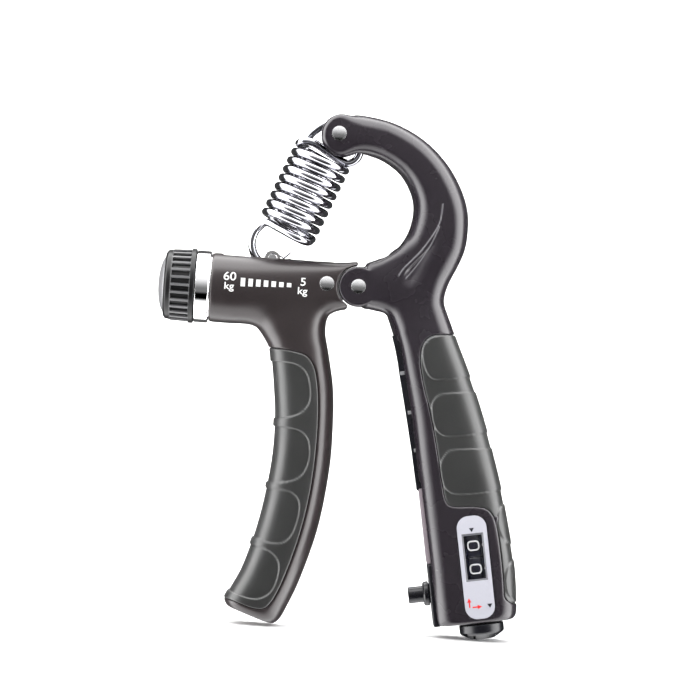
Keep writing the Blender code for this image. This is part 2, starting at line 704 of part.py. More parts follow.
def in_counter(name, profile, look, centre=(0.0, DRUM_Y, 0.0), steps=24):
    """A turned piece whose axis runs along the handle."""
    return turned(name, profile, look, axis="Z", centre=centre, matrix=COUNTER_FRAME, steps=steps)


def counter_frame_plates():
    """A moulded tray round the drums, open to the window and to the inner face, with a bearing plate at each end."""
    tray = box("counter_frame", (-9.0, -10.7, -14.6), (7.7, 5.7, 9.6), BLACK_PLASTIC, COUNTER_FRAME)
    hollow = box("tray_hollow", (-12, -14, -13.1), (6.9, 4.7, 8.1), None, COUNTER_FRAME)
    seat = box("button_spring_seat", (-6.1, -0.6, -13.4), (-5.3, 5.0, -7.9), None, COUNTER_FRAME)
    shaft_way = cylinder("tray_shaft_way", (0, DRUM_Y, -16), (0, DRUM_Y, 12), 1.7, None, COUNTER_FRAME, sides=20)
    start, end = (-8, PLUNGER_Y, PLUNGER_Z), (-4, PLUNGER_Y, PLUNGER_Z)
    stem_way = cylinder("tray_stem_way", start, end, 1.3, None, COUNTER_FRAME, sides=16)
    return cut(join(cut(tray, hollow), seat), shaft_way, stem_way)


def drum(name, low, high, look=DRUM_BLACK):
    profile = [
        (1.7, high), (DRUM_RADIUS - 0.25, high), (DRUM_RADIUS, high - 0.25),
        (DRUM_RADIUS, low + 0.25), (DRUM_RADIUS - 0.25, low), (1.7, low),
    ]
    return in_counter(name, profile, look, steps=32)


def toothed(name, teeth, root, tip, low, high, centre, look, bore):
    """A small wheel with square-shouldered teeth."""
    outline = []
    for tooth in range(teeth):
        for part, radius in ((0.0, root), (0.45, root), (0.5, tip), (0.85, tip)):
            angle = 2 * math.pi * (tooth + part) / teeth
            outline.append((centre[0] + radius * math.cos(angle), centre[1] + radius * math.sin(angle)))
    wheel = prism(name, outline, low, high, look, COUNTER_FRAME, across="Z")
    start, end = (*centre, low - 1), (*centre, high + 1)
    return cut(wheel, cylinder(name + "_bore", start, end, bore, None, COUNTER_FRAME, sides=20))


def wheel_shaft():
    high, low, r = 9.9, -20.6, SHAFT_RADIUS
    profile = [(0.0, high), (r - 0.3, high), (r, high - 0.3), (r, low), (0.0, low)]
    return in_counter("wheel_shaft", profile, STEEL, steps=20)


def reset_knob():
    big = RESET_KNOB_RADIUS
    profile = [
        (0.0, -21.2), (big - 0.3, -21.2), (big, -21.5), (big, -23.3), (big - 0.8, -24.0),
        (3.3, -25.6), (2.9, -25.9), (0.0, -25.9),
    ]
    knob = in_counter("reset_knob", profile, BLACK_PLASTIC, steps=32)
    notch = box("reset_knob_notch", (-8, DRUM_Y - 9, -27), (-3.4, DRUM_Y - 3.2, -23.0), None, COUNTER_FRAME)
    return cut(knob, notch)


def counter_faceplate():
    """The black plate in the inner face that carries the push button."""
    plate = box("counter_faceplate", (-14.9, -7.6, -20.6), (-12.5, 7.6, -3.7), BLACK_PLASTIC, COUNTER_FRAME)
    hole = cylinder(
        "faceplate_hole", (-20, PLUNGER_Y, PLUNGER_Z), (-9, PLUNGER_Y, PLUNGER_Z), 3.3, None, COUNTER_FRAME
    )
    return cut(plate, hole)


def along_plunger(name, profile, look, steps=20):
    """A turned piece on the push button's axis, from (radius, x) points listed with x falling."""
    return turned(
        name, profile, look, axis="X", centre=(0.0, PLUNGER_Y, PLUNGER_Z), matrix=COUNTER_FRAME, steps=steps
    )


def button_collar():
    inner = PLUNGER_RADIUS + 0.2
    profile = [(inner, -12.6), (3.1, -12.6), (3.1, -15.2), (3.65, -15.2), (3.65, -16.7), (3.3, -17.0), (inner, -17.0)]
    return along_plunger("button_collar", profile, BLACK_PLASTIC)


def count_button():
    r = PLUNGER_RADIUS
    profile = [(0.0, -4.9), (1.0, -4.9), (1.0, -10.6), (r, -10.6), (r, -21.5), (r - 0.3, -21.8), (0.0, -21.8)]
    return along_plunger("count_button", profile, BLACK_PLASTIC)


def button_spring():
    """A light coil round the button's stem, between its shoulder and the tray."""
    turns, per_turn, radius = 4, 8, 1.75
    frame = COUNTER_FRAME
    points = []
    for k in range(turns * per_turn + 1):
        angle = 2 * math.pi * k / per_turn
        x = -10.0 + 3.3 * k / (turns * per_turn)
        local = Vector((x, PLUNGER_Y + radius * math.cos(angle), PLUNGER_Z + radius * math.sin(angle))) * MM
        points.append(tuple((frame @ local) / MM))
    return wire("button_spring", points, 0.25, SPRING_STEEL)


def drive_pawl():
    """A finger on the button's stem that pushes one ratchet tooth a stroke."""
    y = PLUNGER_Y
    outline = [(-4.6, y - 0.8), (-1.2, y - 1.0), (-0.6, y - 0.4), (-0.6, y + 0.6), (-4.6, y + 1.0)]
    return prism("drive_pawl", outline, PLUNGER_Z - 0.8, PLUNGER_Z + 0.8, STEEL, COUNTER_FRAME, across="Z")


def counter_label():
    outline = rounded_box_outline(LABEL_WIDTH, LABEL_LENGTH, 3.8, LABEL_MIDDLE_Z)
    plate = prism("counter_label", outline, -12.5, -11.9, LABEL_WHITE, COUNTER_FRAME)
    half_w, half_l = WINDOW_WIDTH / 2, WINDOW_LENGTH / 2
    return cut(plate, box("label_window", (-half_w, -16, -half_l), (half_w, -9, half_l), None, COUNTER_FRAME))


def counter_window():
    return box("counter_window", (-3.5, -11.6, -7.6), (3.5, -11.0, 7.6), CLEAR, COUNTER_FRAME)


def channel_cover():
    return box("channel_cover", (-15.1, -7.6, -3.3), (-13.4, 7.6, 23.0), GREY_PLASTIC, COUNTER_FRAME)


def transfer_pinion():
    return toothed("transfer_pinion", 8, 1.2, 1.75, -2.6, 2.6, PINION_CENTRE, ACETAL, 0.8)


def pinion_axle():
    x, y = PINION_CENTRE
    return cylinder("pinion_axle", (x, y, -12.8), (x, y, 7.8), 0.5, STEEL, COUNTER_FRAME, sides=12)


# ---------------------------------------------------------------- assembly


def hang(name, point, pieces):
    """Parents pieces to an empty on their joint's axis, leaving them where they are."""
    holder = empty(name, *point)
    bpy.context.view_layer.update()
    for piece in pieces:
        piece.parent = holder
        piece.matrix_parent_inverse = holder.matrix_world.inverted()
    return holder


def build():
    right_handle()
    right_grip()
    rivet("hook_pin", HOOK_PIN, HOOK_HALF_DEPTH + 0.2)
    rivet("pivot_rivet", PIVOT, BOSS_HALF_DEPTH + 0.2)
    counter_frame_plates()
    counter_faceplate()
    button_collar()
    counter_label()
    counter_window()
    channel_cover()
    pinion_axle()

    lower, upper, eye = tension_spring()
    pin_at = (NUT_X, 0.0, NUT_PIN_Z)
    left = [left_handle(), left_grip(), tongue_plate(), pivot_bush(), chrome_ring(), bearing_bush(), thrust_washer()]
    left.append(rivet("fixing_rivet", FIXING_RIVET, 9.5))
    left_holder = hang("squeeze_axis", (0.0, 0.0, 0.0), left)
    adjuster = [adjuster_knob(), knob_cap(), adjuster_screw(), knob_screw()]
    knob = hang("knob_axis", (-55.0, 0.0, BARREL_AXIS_Z), adjuster)
    nut = hang("nut_slide", (NUT_X, 0.0, BARREL_AXIS_Z), [travelling_nut()])
    foot = hang("spring_foot_axis", pin_at, [nut_pin(), lower, upper, eye])
    for holder, carrier in ((knob, left_holder), (nut, left_holder), (foot, nut)):
        bpy.context.view_layer.update()
        holder.parent = carrier
        holder.matrix_parent_inverse = carrier.matrix_world.inverted()

    button_at = tuple(COUNTER_FRAME @ (Vector((-12.0, PLUNGER_Y, PLUNGER_Z)) * MM) / MM)
    hang("button_slide", button_at, [count_button(), button_spring(), drive_pawl()])
    drums_at = tuple(COUNTER_FRAME @ (Vector((0.0, DRUM_Y, 0.0)) * MM) / MM)
    hang("reset_axis", drums_at, [reset_knob(), wheel_shaft()])
    units = [
        drum("units_wheel", -DRUM_LENGTH - 0.15, -0.15),
        toothed("ratchet_wheel", 10, 4.0, 4.9, -11.6, -9.0, (0.0, DRUM_Y), ACETAL, 1.7),
    ]
    hang("units_axis", drums_at, units)
    hang("tens_axis", drums_at, [drum("tens_wheel", 0.15, DRUM_LENGTH + 0.15)])
    hang("pinion_axis", tuple(COUNTER_FRAME @ (Vector((*PINION_CENTRE, 0.0)) * MM) / MM), [transfer_pinion()])


def settle_on_origin():
    """Moves every top-level object, so that the origin is on the floor under the middle of the object."""
    bpy.context.view_layer.update()
    for thing in bpy.data.objects:
        if thing.parent is None:
            thing.location += SHIFT
    bpy.context.view_layer.update()


build()
settle_on_origin()
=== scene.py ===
"""Looks of the hand grip dynamometer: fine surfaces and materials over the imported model.

Design points are millimetres from the squeeze pivot, as in the part's own source. They become metres in the
row frame as each mesh is made. The counter's own frame has x out of the inner face and z up the handle.
"""

import json
import math

import bmesh
import bpy
import numpy as np
from mathutils import Matrix, Vector
from mathutils.bvhtree import BVHTree


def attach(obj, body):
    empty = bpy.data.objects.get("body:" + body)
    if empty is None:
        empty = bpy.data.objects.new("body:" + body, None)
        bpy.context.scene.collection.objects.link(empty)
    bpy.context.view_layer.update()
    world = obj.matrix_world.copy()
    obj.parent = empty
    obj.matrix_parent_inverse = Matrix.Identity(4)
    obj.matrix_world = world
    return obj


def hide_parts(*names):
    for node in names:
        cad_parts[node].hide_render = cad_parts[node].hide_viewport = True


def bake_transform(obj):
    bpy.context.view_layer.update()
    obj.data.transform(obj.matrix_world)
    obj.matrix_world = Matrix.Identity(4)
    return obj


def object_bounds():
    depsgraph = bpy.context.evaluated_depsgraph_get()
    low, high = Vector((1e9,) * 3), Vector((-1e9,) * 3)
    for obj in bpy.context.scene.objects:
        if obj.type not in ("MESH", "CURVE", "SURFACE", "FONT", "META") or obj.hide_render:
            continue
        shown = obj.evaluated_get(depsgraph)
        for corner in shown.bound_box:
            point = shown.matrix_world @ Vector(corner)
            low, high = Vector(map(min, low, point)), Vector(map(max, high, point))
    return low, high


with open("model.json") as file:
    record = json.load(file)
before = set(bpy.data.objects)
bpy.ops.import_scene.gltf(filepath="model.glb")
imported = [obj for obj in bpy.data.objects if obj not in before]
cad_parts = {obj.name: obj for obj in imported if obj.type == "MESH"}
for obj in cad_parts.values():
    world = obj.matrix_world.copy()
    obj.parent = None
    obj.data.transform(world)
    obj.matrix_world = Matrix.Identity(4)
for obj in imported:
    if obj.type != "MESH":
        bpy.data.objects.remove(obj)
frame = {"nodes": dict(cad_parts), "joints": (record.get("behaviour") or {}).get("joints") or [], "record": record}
CAD_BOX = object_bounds()

MM = 0.001
JOINTS = {joint["name"]: joint for joint in frame["joints"]}
PIVOT = Vector(JOINTS["squeeze"]["pos_m"])
DRUM_AXIS = Vector(JOINTS["reset_turn"]["pos_m"])
HANDLE_UP = Vector(JOINTS["reset_turn"]["axis"]).normalized()
COUNTER_OUT = Vector((HANDLE_UP.z, 0.0, -HANDLE_UP.x))

# Surfaces
BODY_VOXEL = 0.34
GRIP_SINK = 1.2
GRIP_RECESS = 0.9
SEAM = 0.35
SKIN_MARGIN = 1.2
FINGER_DEPTH = 0.5
FINGER_RISE = 0.12
PAD_HEIGHT = 0.35
DROP_DEPTH = 1.3
LABEL_POCKET = 0.6
LINE_WIDTH = 0.16
RIM_SHIFT = 0.05
LEFT_ROUNDS = 7
CROOK_ROUNDS = 200
RIGHT_ROUNDS = 12
JOIN_ROUNDS = 160
FACE_ROUNDS = 400

# Squeeze joint and the pins
PIVOT_AT = (0.0, 0.0)
BOSS_RADIUS = 6.3
BOSS_HALF_DEPTH = 9.6
FIXING_RIVET = (-9.9, 0.2)
HOOK_PIN = (-9.3, 47.5)
HOOK_BOSS = (-8.2, 47.1)
HOOK_BOSS_RADIUS = 6.8
HOOK_HALF_DEPTH = 6.8
RIVET_RADIUS = 2.3
RIVET_EDGE_ANGLE = math.radians(20)
TONGUE_RADIUS = 4.6
TONGUE_HALF = 2.3
PIN_HOLE = 1.9

# Adjuster
AXIS_Z = -3.3
BORE_RADIUS = 7.5
RING_RADIUS = 11.3
KNOB_RIBS = 28

# Tension spring
WIRE_RADIUS = 1.25
COIL_RADIUS = 8.5
COIL_AXIS_DEG = 68.0
COIL_MIDDLE = (-18.7, 28.9)
COIL_LENGTH = 25.5
COIL_HALF_TURNS = 17

# Counter
DRUM_Y = -4.2
DRUM_RADIUS = 6.3
WHEEL_HALF = 3.5
WHEEL_HUB = 1.7
WHEEL_PLACES = (-3.65, 3.65)
DIGITS = 10
RESET_RADIUS = 7.0
PRINT_RISE = 0.03
PLUNGER = (2.0, -10.4)
LABEL_MIDDLE_Z = -3.05

# Lofted bodies, as in the part: one edge (x, z), the other edge (x, z), half depth, squareness
BARREL = [
    (-46.6, 6.5, -46.6, -13.1, 9.8, 2.3),
    (-46.2, 7.1, -46.2, -13.7, 10.4, 2.3),
    (-45.2, 7.6, -45.2, -14.2, 10.9, 2.3),
    (-34.0, 7.6, -34.0, -14.2, 10.9, 2.4),
    (-22.0, 7.5, -22.0, -13.8, 10.6, 2.8),
    (-14.5, 7.3, -14.5, -12.0, 10.1, 3.2),
    (-9.5, 7.2, -9.5, -10.0, 9.8, 3.6),
    (-6.2, 7.2, -6.6, -8.3, 9.6, 4.0),
    (-0.4, 7.9, -3.2, -7.4, 9.5, 4.0),
]
LEFT_LEVER = [
    (-31.8, -11.5, -7.0, -5.5, 10.4, 2.8),
    (-30.2, -16.0, -9.0, -10.6, 10.6, 2.8),
    (-27.0, -20.4, -9.5, -14.6, 10.7, 2.8),
    (-25.9, -25.5, -7.9, -21.5, 10.9, 2.8),
    (-24.8, -33.0, -5.6, -33.0, 11.3, 2.8),
    (-23.7, -44.0, -4.9, -45.0, 11.7, 2.8),
    (-24.0, -57.5, -5.1, -58.5, 11.9, 2.8),
    (-26.5, -74.5, -7.4, -76.5, 11.8, 2.8),
    (-30.4, -89.0, -11.9, -92.8, 11.5, 2.8),
    (-34.1, -97.2, -15.7, -102.3, 11.2, 2.8),
    (-35.4, -100.3, -17.6, -106.0, 10.6, 2.8),
    (-34.5, -102.6, -19.6, -107.6, 9.0, 2.8),
]
RIGHT_ARM = [
    (-7.6, 41.0, -7.2, 53.8, 6.6, 2.5),
    (-3.0, 41.5, -2.0, 53.9, 7.2, 2.5),
    (1.1, 41.2, 7.6, 52.2, 7.7, 2.5),
    (5.8, 39.5, 17.0, 47.8, 8.3, 2.5),
    (10.6, 36.1, 24.6, 41.2, 8.8, 2.5),
    (13.9, 31.3, 29.7, 33.8, 9.2, 2.5),
    (15.5, 26.0, 32.6, 26.5, 9.5, 2.6),
    (14.8, 19.5, 33.2, 19.5, 9.8, 2.8),
    (12.2, 14.0, 32.6, 13.6, 9.9, 3.0),
    (8.6, 10.4, 30.6, 8.0, 9.9, 3.0),
    (7.4, 3.5, 28.2, 2.6, 9.7, 3.0),
    (8.2, -4.5, 27.2, -2.4, 9.7, 3.0),
    (10.6, -11.0, 28.4, -6.2, 9.9, 3.0),
    (13.0, -17.3, 32.6, -15.6, 10.7, 3.0),
    (15.2, -26.0, 37.0, -25.2, 11.4, 3.0),
    (18.3, -39.0, 42.4, -38.7, 12.0, 3.0),
    (20.8, -52.0, 46.8, -51.8, 12.3, 3.2),
    (23.2, -63.5, 50.2, -63.2, 12.4, 3.4),
    (27.1, -83.0, 54.8, -82.2, 12.4, 3.6),
    (29.9, -98.0, 56.5, -95.0, 12.4, 3.6),
    (31.0, -103.4, 56.6, -99.0, 12.1, 3.6),
    (32.0, -104.7, 55.8, -100.5, 11.3, 3.6),
]
LEVER_START = 12
BRIDGE = [
    (1.8, 7.5, 1.8, -6.8, 9.2, 4.0),
    (4.0, 8.4, 4.0, -6.9, 9.6, 4.0),
    (8.0, 9.9, 8.0, -7.5, 9.4, 4.0),
    (14.0, 10.0, 14.0, -8.0, 9.0, 4.0),
]
CORNER_FILL = [(2.2, 7.2), (4.6, 8.4), (8.3, 10.0), (11.8, 12.9), (13.8, 15.8), (18.0, 12.0), (10.0, 2.0)]
LEFT_GRIP = [
    (-45.0, -21.0), (-17.5, -21.0), (-12.2, -24.2), (-10.0, -33.0), (-9.3, -47.0), (-9.9, -62.0),
    (-12.0, -76.0), (-15.4, -88.9), (-19.6, -100.2), (-23.5, -103.7), (-34.7, -99.9), (-45.0, -99.9),
]
RIGHT_GRIP = [
    (70.0, -12.6), (31.4, -12.7), (23.2, -13.2), (20.2, -18.5), (21.9, -28.2), (25.5, -38.7),
    (29.5, -55.8), (31.6, -65.7), (34.4, -66.8), (42.1, -65.9), (45.9, -66.8), (48.7, -71.1),
    (51.9, -88.9), (52.4, -96.2), (70.0, -96.2),
]
# Finger grooves of the left grip and raised pads of the right grip, open towards the outer edge
FINGER_GROOVES = [
    [(-40, -25.9), (-20.3, -24.8), (-16.0, -26.1), (-13.6, -28.8), (-12.5, -33.9), (-12.6, -37.8),
     (-15.6, -41.5), (-23.2, -43.3), (-40, -43.6)],
    [(-40, -45.5), (-17.9, -45.2), (-14.0, -46.5), (-11.8, -49.3), (-11.4, -55.1), (-13.0, -60.0),
     (-16.7, -62.4), (-23.7, -63.3), (-40, -62.6)],
    [(-40, -64.9), (-18.5, -64.6), (-14.8, -66.3), (-13.3, -69.4), (-13.9, -74.6), (-15.5, -79.8),
     (-19.2, -82.4), (-27.4, -80.7), (-40, -78.0)],
    [(-40, -80.0), (-27.8, -83.0), (-22.3, -83.9), (-19.2, -86.5), (-18.4, -89.7), (-19.3, -94.9),
     (-21.3, -98.3), (-25.7, -100.2), (-33.9, -97.9), (-42, -95.0)],
]
PALM_PADS = [
    [(60, -12.0), (31.2, -12.9), (24.6, -13.9), (21.9, -15.8), (21.1, -18.6), (22.2, -23.4), (23.6, -26.1),
     (25.5, -27.4), (28.3, -27.2), (37.3, -25.6), (60, -23.0)],
    [(60, -29.0), (39.2, -30.3), (31.4, -31.2), (27.6, -31.7), (25.6, -34.0), (25.3, -36.5), (26.1, -40.9),
     (27.9, -43.9), (31.2, -45.1), (43.9, -42.6), (60, -40.0)],
    [(62, -46.0), (45.3, -47.6), (34.7, -48.5), (31.7, -48.9), (29.7, -51.9), (29.2, -54.7), (30.0, -58.3),
     (31.5, -61.4), (34.9, -63.0), (49.2, -60.4), (62, -58.0)],
    [(62, -62.0), (50.4, -64.7), (48.9, -66.6), (48.4, -70.9), (50.1, -75.0), (53.6, -77.4), (62, -79.0)],
    [(62, -79.5), (54.5, -81.9), (52.6, -84.5), (52.0, -88.7), (53.2, -92.9), (56.4, -95.5), (62, -96.0)],
]
# Teardrop groove in the hook arm: its sharp inner side from the tip down, the painted highlight line beside that
# side, and its soft outer side back up to the tip; a painted highlight also runs along the sharp side
GROOVE_SHARP = [(24.5, 27.5), (24.2, 22.7), (22.6, 18.6), (18.8, 12.6), (13.9, 6.9), (12.3, 4.2)]
GROOVE_GLINT = [(24.0, 20.5), (21.7, 14.6), (18.2, 8.6), (14.6, 3.6)]
GROOVE_SOFT = [
    (12.3, 4.2), (13.3, 1.4), (16.1, 0.0), (19.1, 1.8), (21.4, 5.7), (24.6, 15.0), (25.3, 22.8), (24.5, 27.5),
]
CHANNEL = [
    (8.0, -16.5), (19.0, -16.5), (21.6, -26.0), (24.8, -39.0), (27.3, -51.0), (31.5, -71.5), (20.0, -71.5),
]
CHANNEL_RIBS = [(15.6, -26.1), (18.9, -38.2), (21.6, -49.9)]

# Light
AMBIENT_LEVEL = 0.78
FRONT_TOP = 2.6
FRONT_LEVEL = 0.5
FRONT_BOTTOM = 0.4
PANEL_SIDES = 13.0
PANEL_TOP = 9.0
PANEL_LOW_SHARE = 0.55
PANEL_TENT = 0.7
BEHIND_LEVEL = 0.12
WHITE = (1.0, 1.0, 1.0, 1.0)

COUNTER = Matrix((
    (COUNTER_OUT.x, 0.0, HANDLE_UP.x, DRUM_AXIS.x),
    (COUNTER_OUT.y, 1.0, HANDLE_UP.y, 0.0),
    (COUNTER_OUT.z, 0.0, HANDLE_UP.z, DRUM_AXIS.z),
    (0.0, 0.0, 0.0, 1.0),
))
DESIGN = Matrix.Translation(PIVOT)


# Materials


def new_material(name):
    made = bpy.data.materials.new(name)
    made.use_nodes = True
    return made, made.node_tree, made.node_tree.nodes["Principled BSDF"]


def fill(tree, node, inputs):
    """Sets each input of a node to a value, or links it to another node's output."""
    for name, value in inputs.items():
        if isinstance(value, bpy.types.NodeSocket):
            tree.links.new(value, node.inputs[name])
        else:
            node.inputs[name].default_value = value
    return node


def noise(tree, scale, detail=4.0, stretch=(1.0, 1.0, 1.0)):
    """Noise over the object's own space, with a scale in features a metre."""
    where = tree.nodes.new("ShaderNodeTexCoord").outputs["Object"]
    mapping = fill(tree, tree.nodes.new("ShaderNodeMapping"), {"Scale": stretch, "Vector": where})
    texture = tree.nodes.new("ShaderNodeTexNoise")
    fill(tree, texture, {"Scale": scale, "Detail": detail, "Vector": mapping.outputs["Vector"]})
    return texture.outputs["Fac"]


def ranged(tree, value, low, high, start=0.3, end=0.7, curve="LINEAR"):
    """From low to high while the value goes from start to end."""
    node = tree.nodes.new("ShaderNodeMapRange")
    node.interpolation_type = curve
    fill(tree, node, {"Value": value, "From Min": start, "From Max": end, "To Min": low, "To Max": high})
    return node.outputs["Result"]


def mixed(tree, factor, low, high):
    """The colour low where the factor is 0, and high where it is 1."""
    node = tree.nodes.new("ShaderNodeMix")
    node.data_type = "RGBA"
    fill(tree, node, {"Factor": factor, "A": low, "B": high})
    return node.outputs["Result"]


def bumped(tree, value, distance, strength=0.5):
    node = tree.nodes.new("ShaderNodeBump")
    fill(tree, node, {"Height": value, "Distance": distance, "Strength": strength})
    return node.outputs["Normal"]


def look(name, colour, roughness, metallic=0.0, spread=0.05, grain=1800.0, depth=0.000003, shade=0.88,
         highlight_paint=None, stretch=(1.0, 1.0, 1.0), specular=0.5):
    """A moulded, machined or plated surface with grain, uneven gloss and cloudy colour.

    Where the mesh's outline attribute is set, the given light colour is painted over the base as a highlight.
    """
    made, tree, shader = new_material(name)
    grains = noise(tree, grain, 6.0, stretch)
    clouds = noise(tree, 90.0, 3.0)
    dark = tuple(c * shade for c in colour)
    base = mixed(tree, ranged(tree, grains, 0.0, 1.0), (*dark, 1.0), (*colour, 1.0))
    # Painted highlight: the mesh's outline attribute lays a light colour over the base colour.
    if highlight_paint is not None:
        marked = tree.nodes.new("ShaderNodeAttribute")
        marked.attribute_name = "outline"
        base = mixed(tree, marked.outputs["Fac"], base, (*highlight_paint, 1.0))
    fill(tree, shader, {
        "Base Color": base,
        "Roughness": ranged(tree, clouds, roughness - spread, roughness + spread),
        "Normal": bumped(tree, grains, depth),
        "Metallic": metallic,
        "Specular IOR Level": specular,
    })
    return made


def clear_look():
    made, tree, shader = new_material("window_clear")
    haze = noise(tree, 400.0)
    fill(tree, shader, {
        "Base Color": (0.02, 0.02, 0.03, 1.0),
        "Roughness": ranged(tree, haze, 0.03, 0.09),
        "Normal": bumped(tree, haze, 0.000002, 0.2),
        "Alpha": 0.06,
    })
    return made


LOOKS = {
    "left_plastic": look("left_plastic_moulded", (0.024, 0.0185, 0.0193), 0.32, spread=0.03, specular=0.33),
    # right_plastic: (0.30, 0.29, 0.31) is a painted highlight along the hook-arm groove's sharp side and beside
    # it.
    "right_plastic": look("right_plastic_moulded", (0.0185, 0.0145, 0.0195), 0.27, spread=0.03,
                          depth=0.000002, specular=0.33, highlight_paint=(0.30, 0.29, 0.31)),
    # grip_rubber: (0.13, 0.13, 0.13) is a painted highlight along the grips' edges and round their grooves and
    # pads.
    "grip_rubber": look("grip_soft_touch", (0.0265, 0.0268, 0.0265), 0.36, spread=0.04, grain=3200.0,
                        depth=0.000012, specular=0.33, highlight_paint=(0.13, 0.13, 0.13)),
    "polished_steel": look("rivet_steel", (0.80, 0.80, 0.81), 0.17, 1.0, grain=2500.0),
    "chrome": look("ring_chrome", (0.92, 0.92, 0.93), 0.06, 1.0, 0.02, 900.0, 0.000001, shade=0.97),
    "spring_wire": look("spring_plated", (0.32, 0.32, 0.345), 0.10, 1.0, 0.03, 1600.0, 0.000002, shade=0.90),
    "brass": look("brass_turned", (0.72, 0.52, 0.22), 0.3, 1.0, 0.06, 2600.0, 0.000006,
                  stretch=(6.0, 1.0, 1.0)),
    "black_plastic": look("black_moulded", (0.006, 0.006, 0.009), 0.28, specular=0.24),
    "grey_plastic": look("grey_moulded", (0.27, 0.23, 0.255), 0.5, grain=2600.0, depth=0.00001, specular=0.2),
    "cap_grey": look("cap_satin", (0.25, 0.25, 0.26), 0.38, 0.3, 0.05, 3000.0, 0.000004, specular=0.3),
    "label_white": look("label_film", (0.50, 0.50, 0.56), 0.40, grain=1500.0, shade=0.97, specular=0.3),
    "drum_black": look("drum_navy", (0.004, 0.004, 0.014), 0.2, spread=0.04, specular=1.0),
    "acetal_white": look("acetal_natural", (0.78, 0.77, 0.72), 0.42, depth=0.000008, shade=0.95),
    "clear_window": clear_look(),
}
# The knob's (0.14, 0.14, 0.145) is a painted highlight on the tops of its ribs.
KNOB_RIBBED = look("knob_ribbed", (0.006, 0.006, 0.0065), 0.34, specular=0.2, highlight_paint=(0.14, 0.14, 0.145))
NUT_PLATED = look("nut_plated", (0.62, 0.61, 0.60), 0.22, 1.0, 0.05, 2400.0, 0.000004)
PRINT_WHITE = look("print_white", (0.92, 0.92, 0.92), 0.45, shade=0.96)
PRINT_BLACK = look("print_black", (0.006, 0.006, 0.012), 0.4)
PRINT_RED = look("print_red", (0.80, 0.012, 0.010), 0.45)
BEZEL_GREY = look("bezel_grey", (0.085, 0.085, 0.10), 0.34, depth=0.000004, specular=0.3)


# Meshes


def new_thing(name, mesh):
    made = bpy.data.objects.new(name, mesh)
    bpy.context.scene.collection.objects.link(made)
    return made


def thing_from(name, shape, matrix=DESIGN):
    """An object from a bmesh in millimetres of a frame."""
    bmesh.ops.recalc_face_normals(shape, faces=shape.faces)
    bmesh.ops.transform(shape, matrix=matrix @ Matrix.Diagonal((MM, MM, MM, 1.0)), verts=shape.verts)
    mesh = bpy.data.meshes.new(name)
    shape.to_mesh(mesh)
    shape.free()
    return new_thing(name, mesh)


def at_point(point):
    """The frame of a design point (x, z)."""
    return Matrix.Translation(PIVOT + Vector((point[0], 0, point[1])) * MM)


def smooth(thing, angle=40):
    thing.data.shade_smooth()
    thing.data.set_sharp_from_angle(angle=math.radians(angle))
    return thing


def rings_thing(name, rings, matrix=DESIGN, ends=True):
    """A body through rings of points in millimetres, closed over its ends or joined end to end."""
    shape = bmesh.new()
    loops = [[shape.verts.new(point) for point in ring] for ring in rings]
    count = len(loops[0])
    for one, two in zip(loops, loops[1:] if ends else loops[1:] + loops[:1]):
        for k in range(count):
            shape.faces.new((one[k], one[(k + 1) % count], two[(k + 1) % count], two[k]))
    if ends:
        shape.faces.new(list(reversed(loops[0])))
        shape.faces.new(loops[-1])
    return thing_from(name, shape, matrix)


def through(points, steps):
    """A Catmull-Rom curve through points of any size."""
    ends = [points[0], *points, points[-1]]
    curve = []
    for before, start, end, after in zip(ends, ends[1:], ends[2:], ends[3:]):
        for k in range(steps):
            t = k / steps
            curve.append(tuple(
                q + 0.5 * ((r - p) * t + (2 * p - 5 * q + 4 * r - s) * t**2 + (3 * (q - r) + s - p) * t**3)
                for p, q, r, s in zip(before, start, end, after)
            ))
    curve.append(tuple(points[-1]))
    return curve


def section(station, count):
    """A superellipse between two edge points of a handle."""
    x1, z1, x2, z2, half_depth, power = station
    ring = []
    for k in range(count):
        c, s = math.cos(2 * math.pi * k / count), math.sin(2 * math.pi * k / count)
        along = math.copysign(abs(c) ** (2 / power), c)
        deep = math.copysign(abs(s) ** (2 / power), s) * half_depth
        ring.append(((x1 + x2) / 2 + (x2 - x1) / 2 * along, deep, (z1 + z2) / 2 + (z2 - z1) / 2 * along))
    return ring


def loft(name, stations, steps, count):
    return rings_thing(name, [section(station, count) for station in through(stations, steps)])


def box(name, low, high, matrix=DESIGN):
    shape = bmesh.new()
    bmesh.ops.create_cube(shape, size=1.0)
    bmesh.ops.scale(shape, vec=[b - a for a, b in zip(low, high)], verts=shape.verts)
    bmesh.ops.translate(shape, vec=[(a + b) / 2 for a, b in zip(low, high)], verts=shape.verts)
    return thing_from(name, shape, matrix)


def rod(name, start, end, radius, matrix=DESIGN, sides=48):
    start, end = Vector(start), Vector(end)
    turn = Vector((0, 0, 1)).rotation_difference(end - start).to_matrix().to_4x4()
    shape = bmesh.new()
    bmesh.ops.create_cone(
        shape, cap_ends=True, segments=sides, radius1=radius, radius2=radius, depth=(end - start).length,
        matrix=Matrix.Translation((start + end) / 2) @ turn,
    )
    return thing_from(name, shape, matrix)


def cross_rod(name, point, half_depth, radius):
    return rod(name, (point[0], -half_depth, point[1]), (point[0], half_depth, point[1]), radius)


def slab(name, outline, low_y, high_y, matrix=DESIGN):
    """A flat outline of (x, z) points, made thick along y."""
    shape = bmesh.new()
    face = shape.faces.new([shape.verts.new((x, low_y, z)) for x, z in outline])
    grown = bmesh.ops.extrude_face_region(shape, geom=[face])
    moved = [item for item in grown["geom"] if isinstance(item, bmesh.types.BMVert)]
    bmesh.ops.translate(shape, vec=(0, high_y - low_y, 0), verts=moved)
    return thing_from(name, shape, matrix)


def arc(centre, radius, start_deg, end_deg, count):
    angles = [math.radians(start_deg + (end_deg - start_deg) * k / count) for k in range(count + 1)]
    return [(centre[0] + radius * math.cos(a), centre[1] + radius * math.sin(a)) for a in angles]


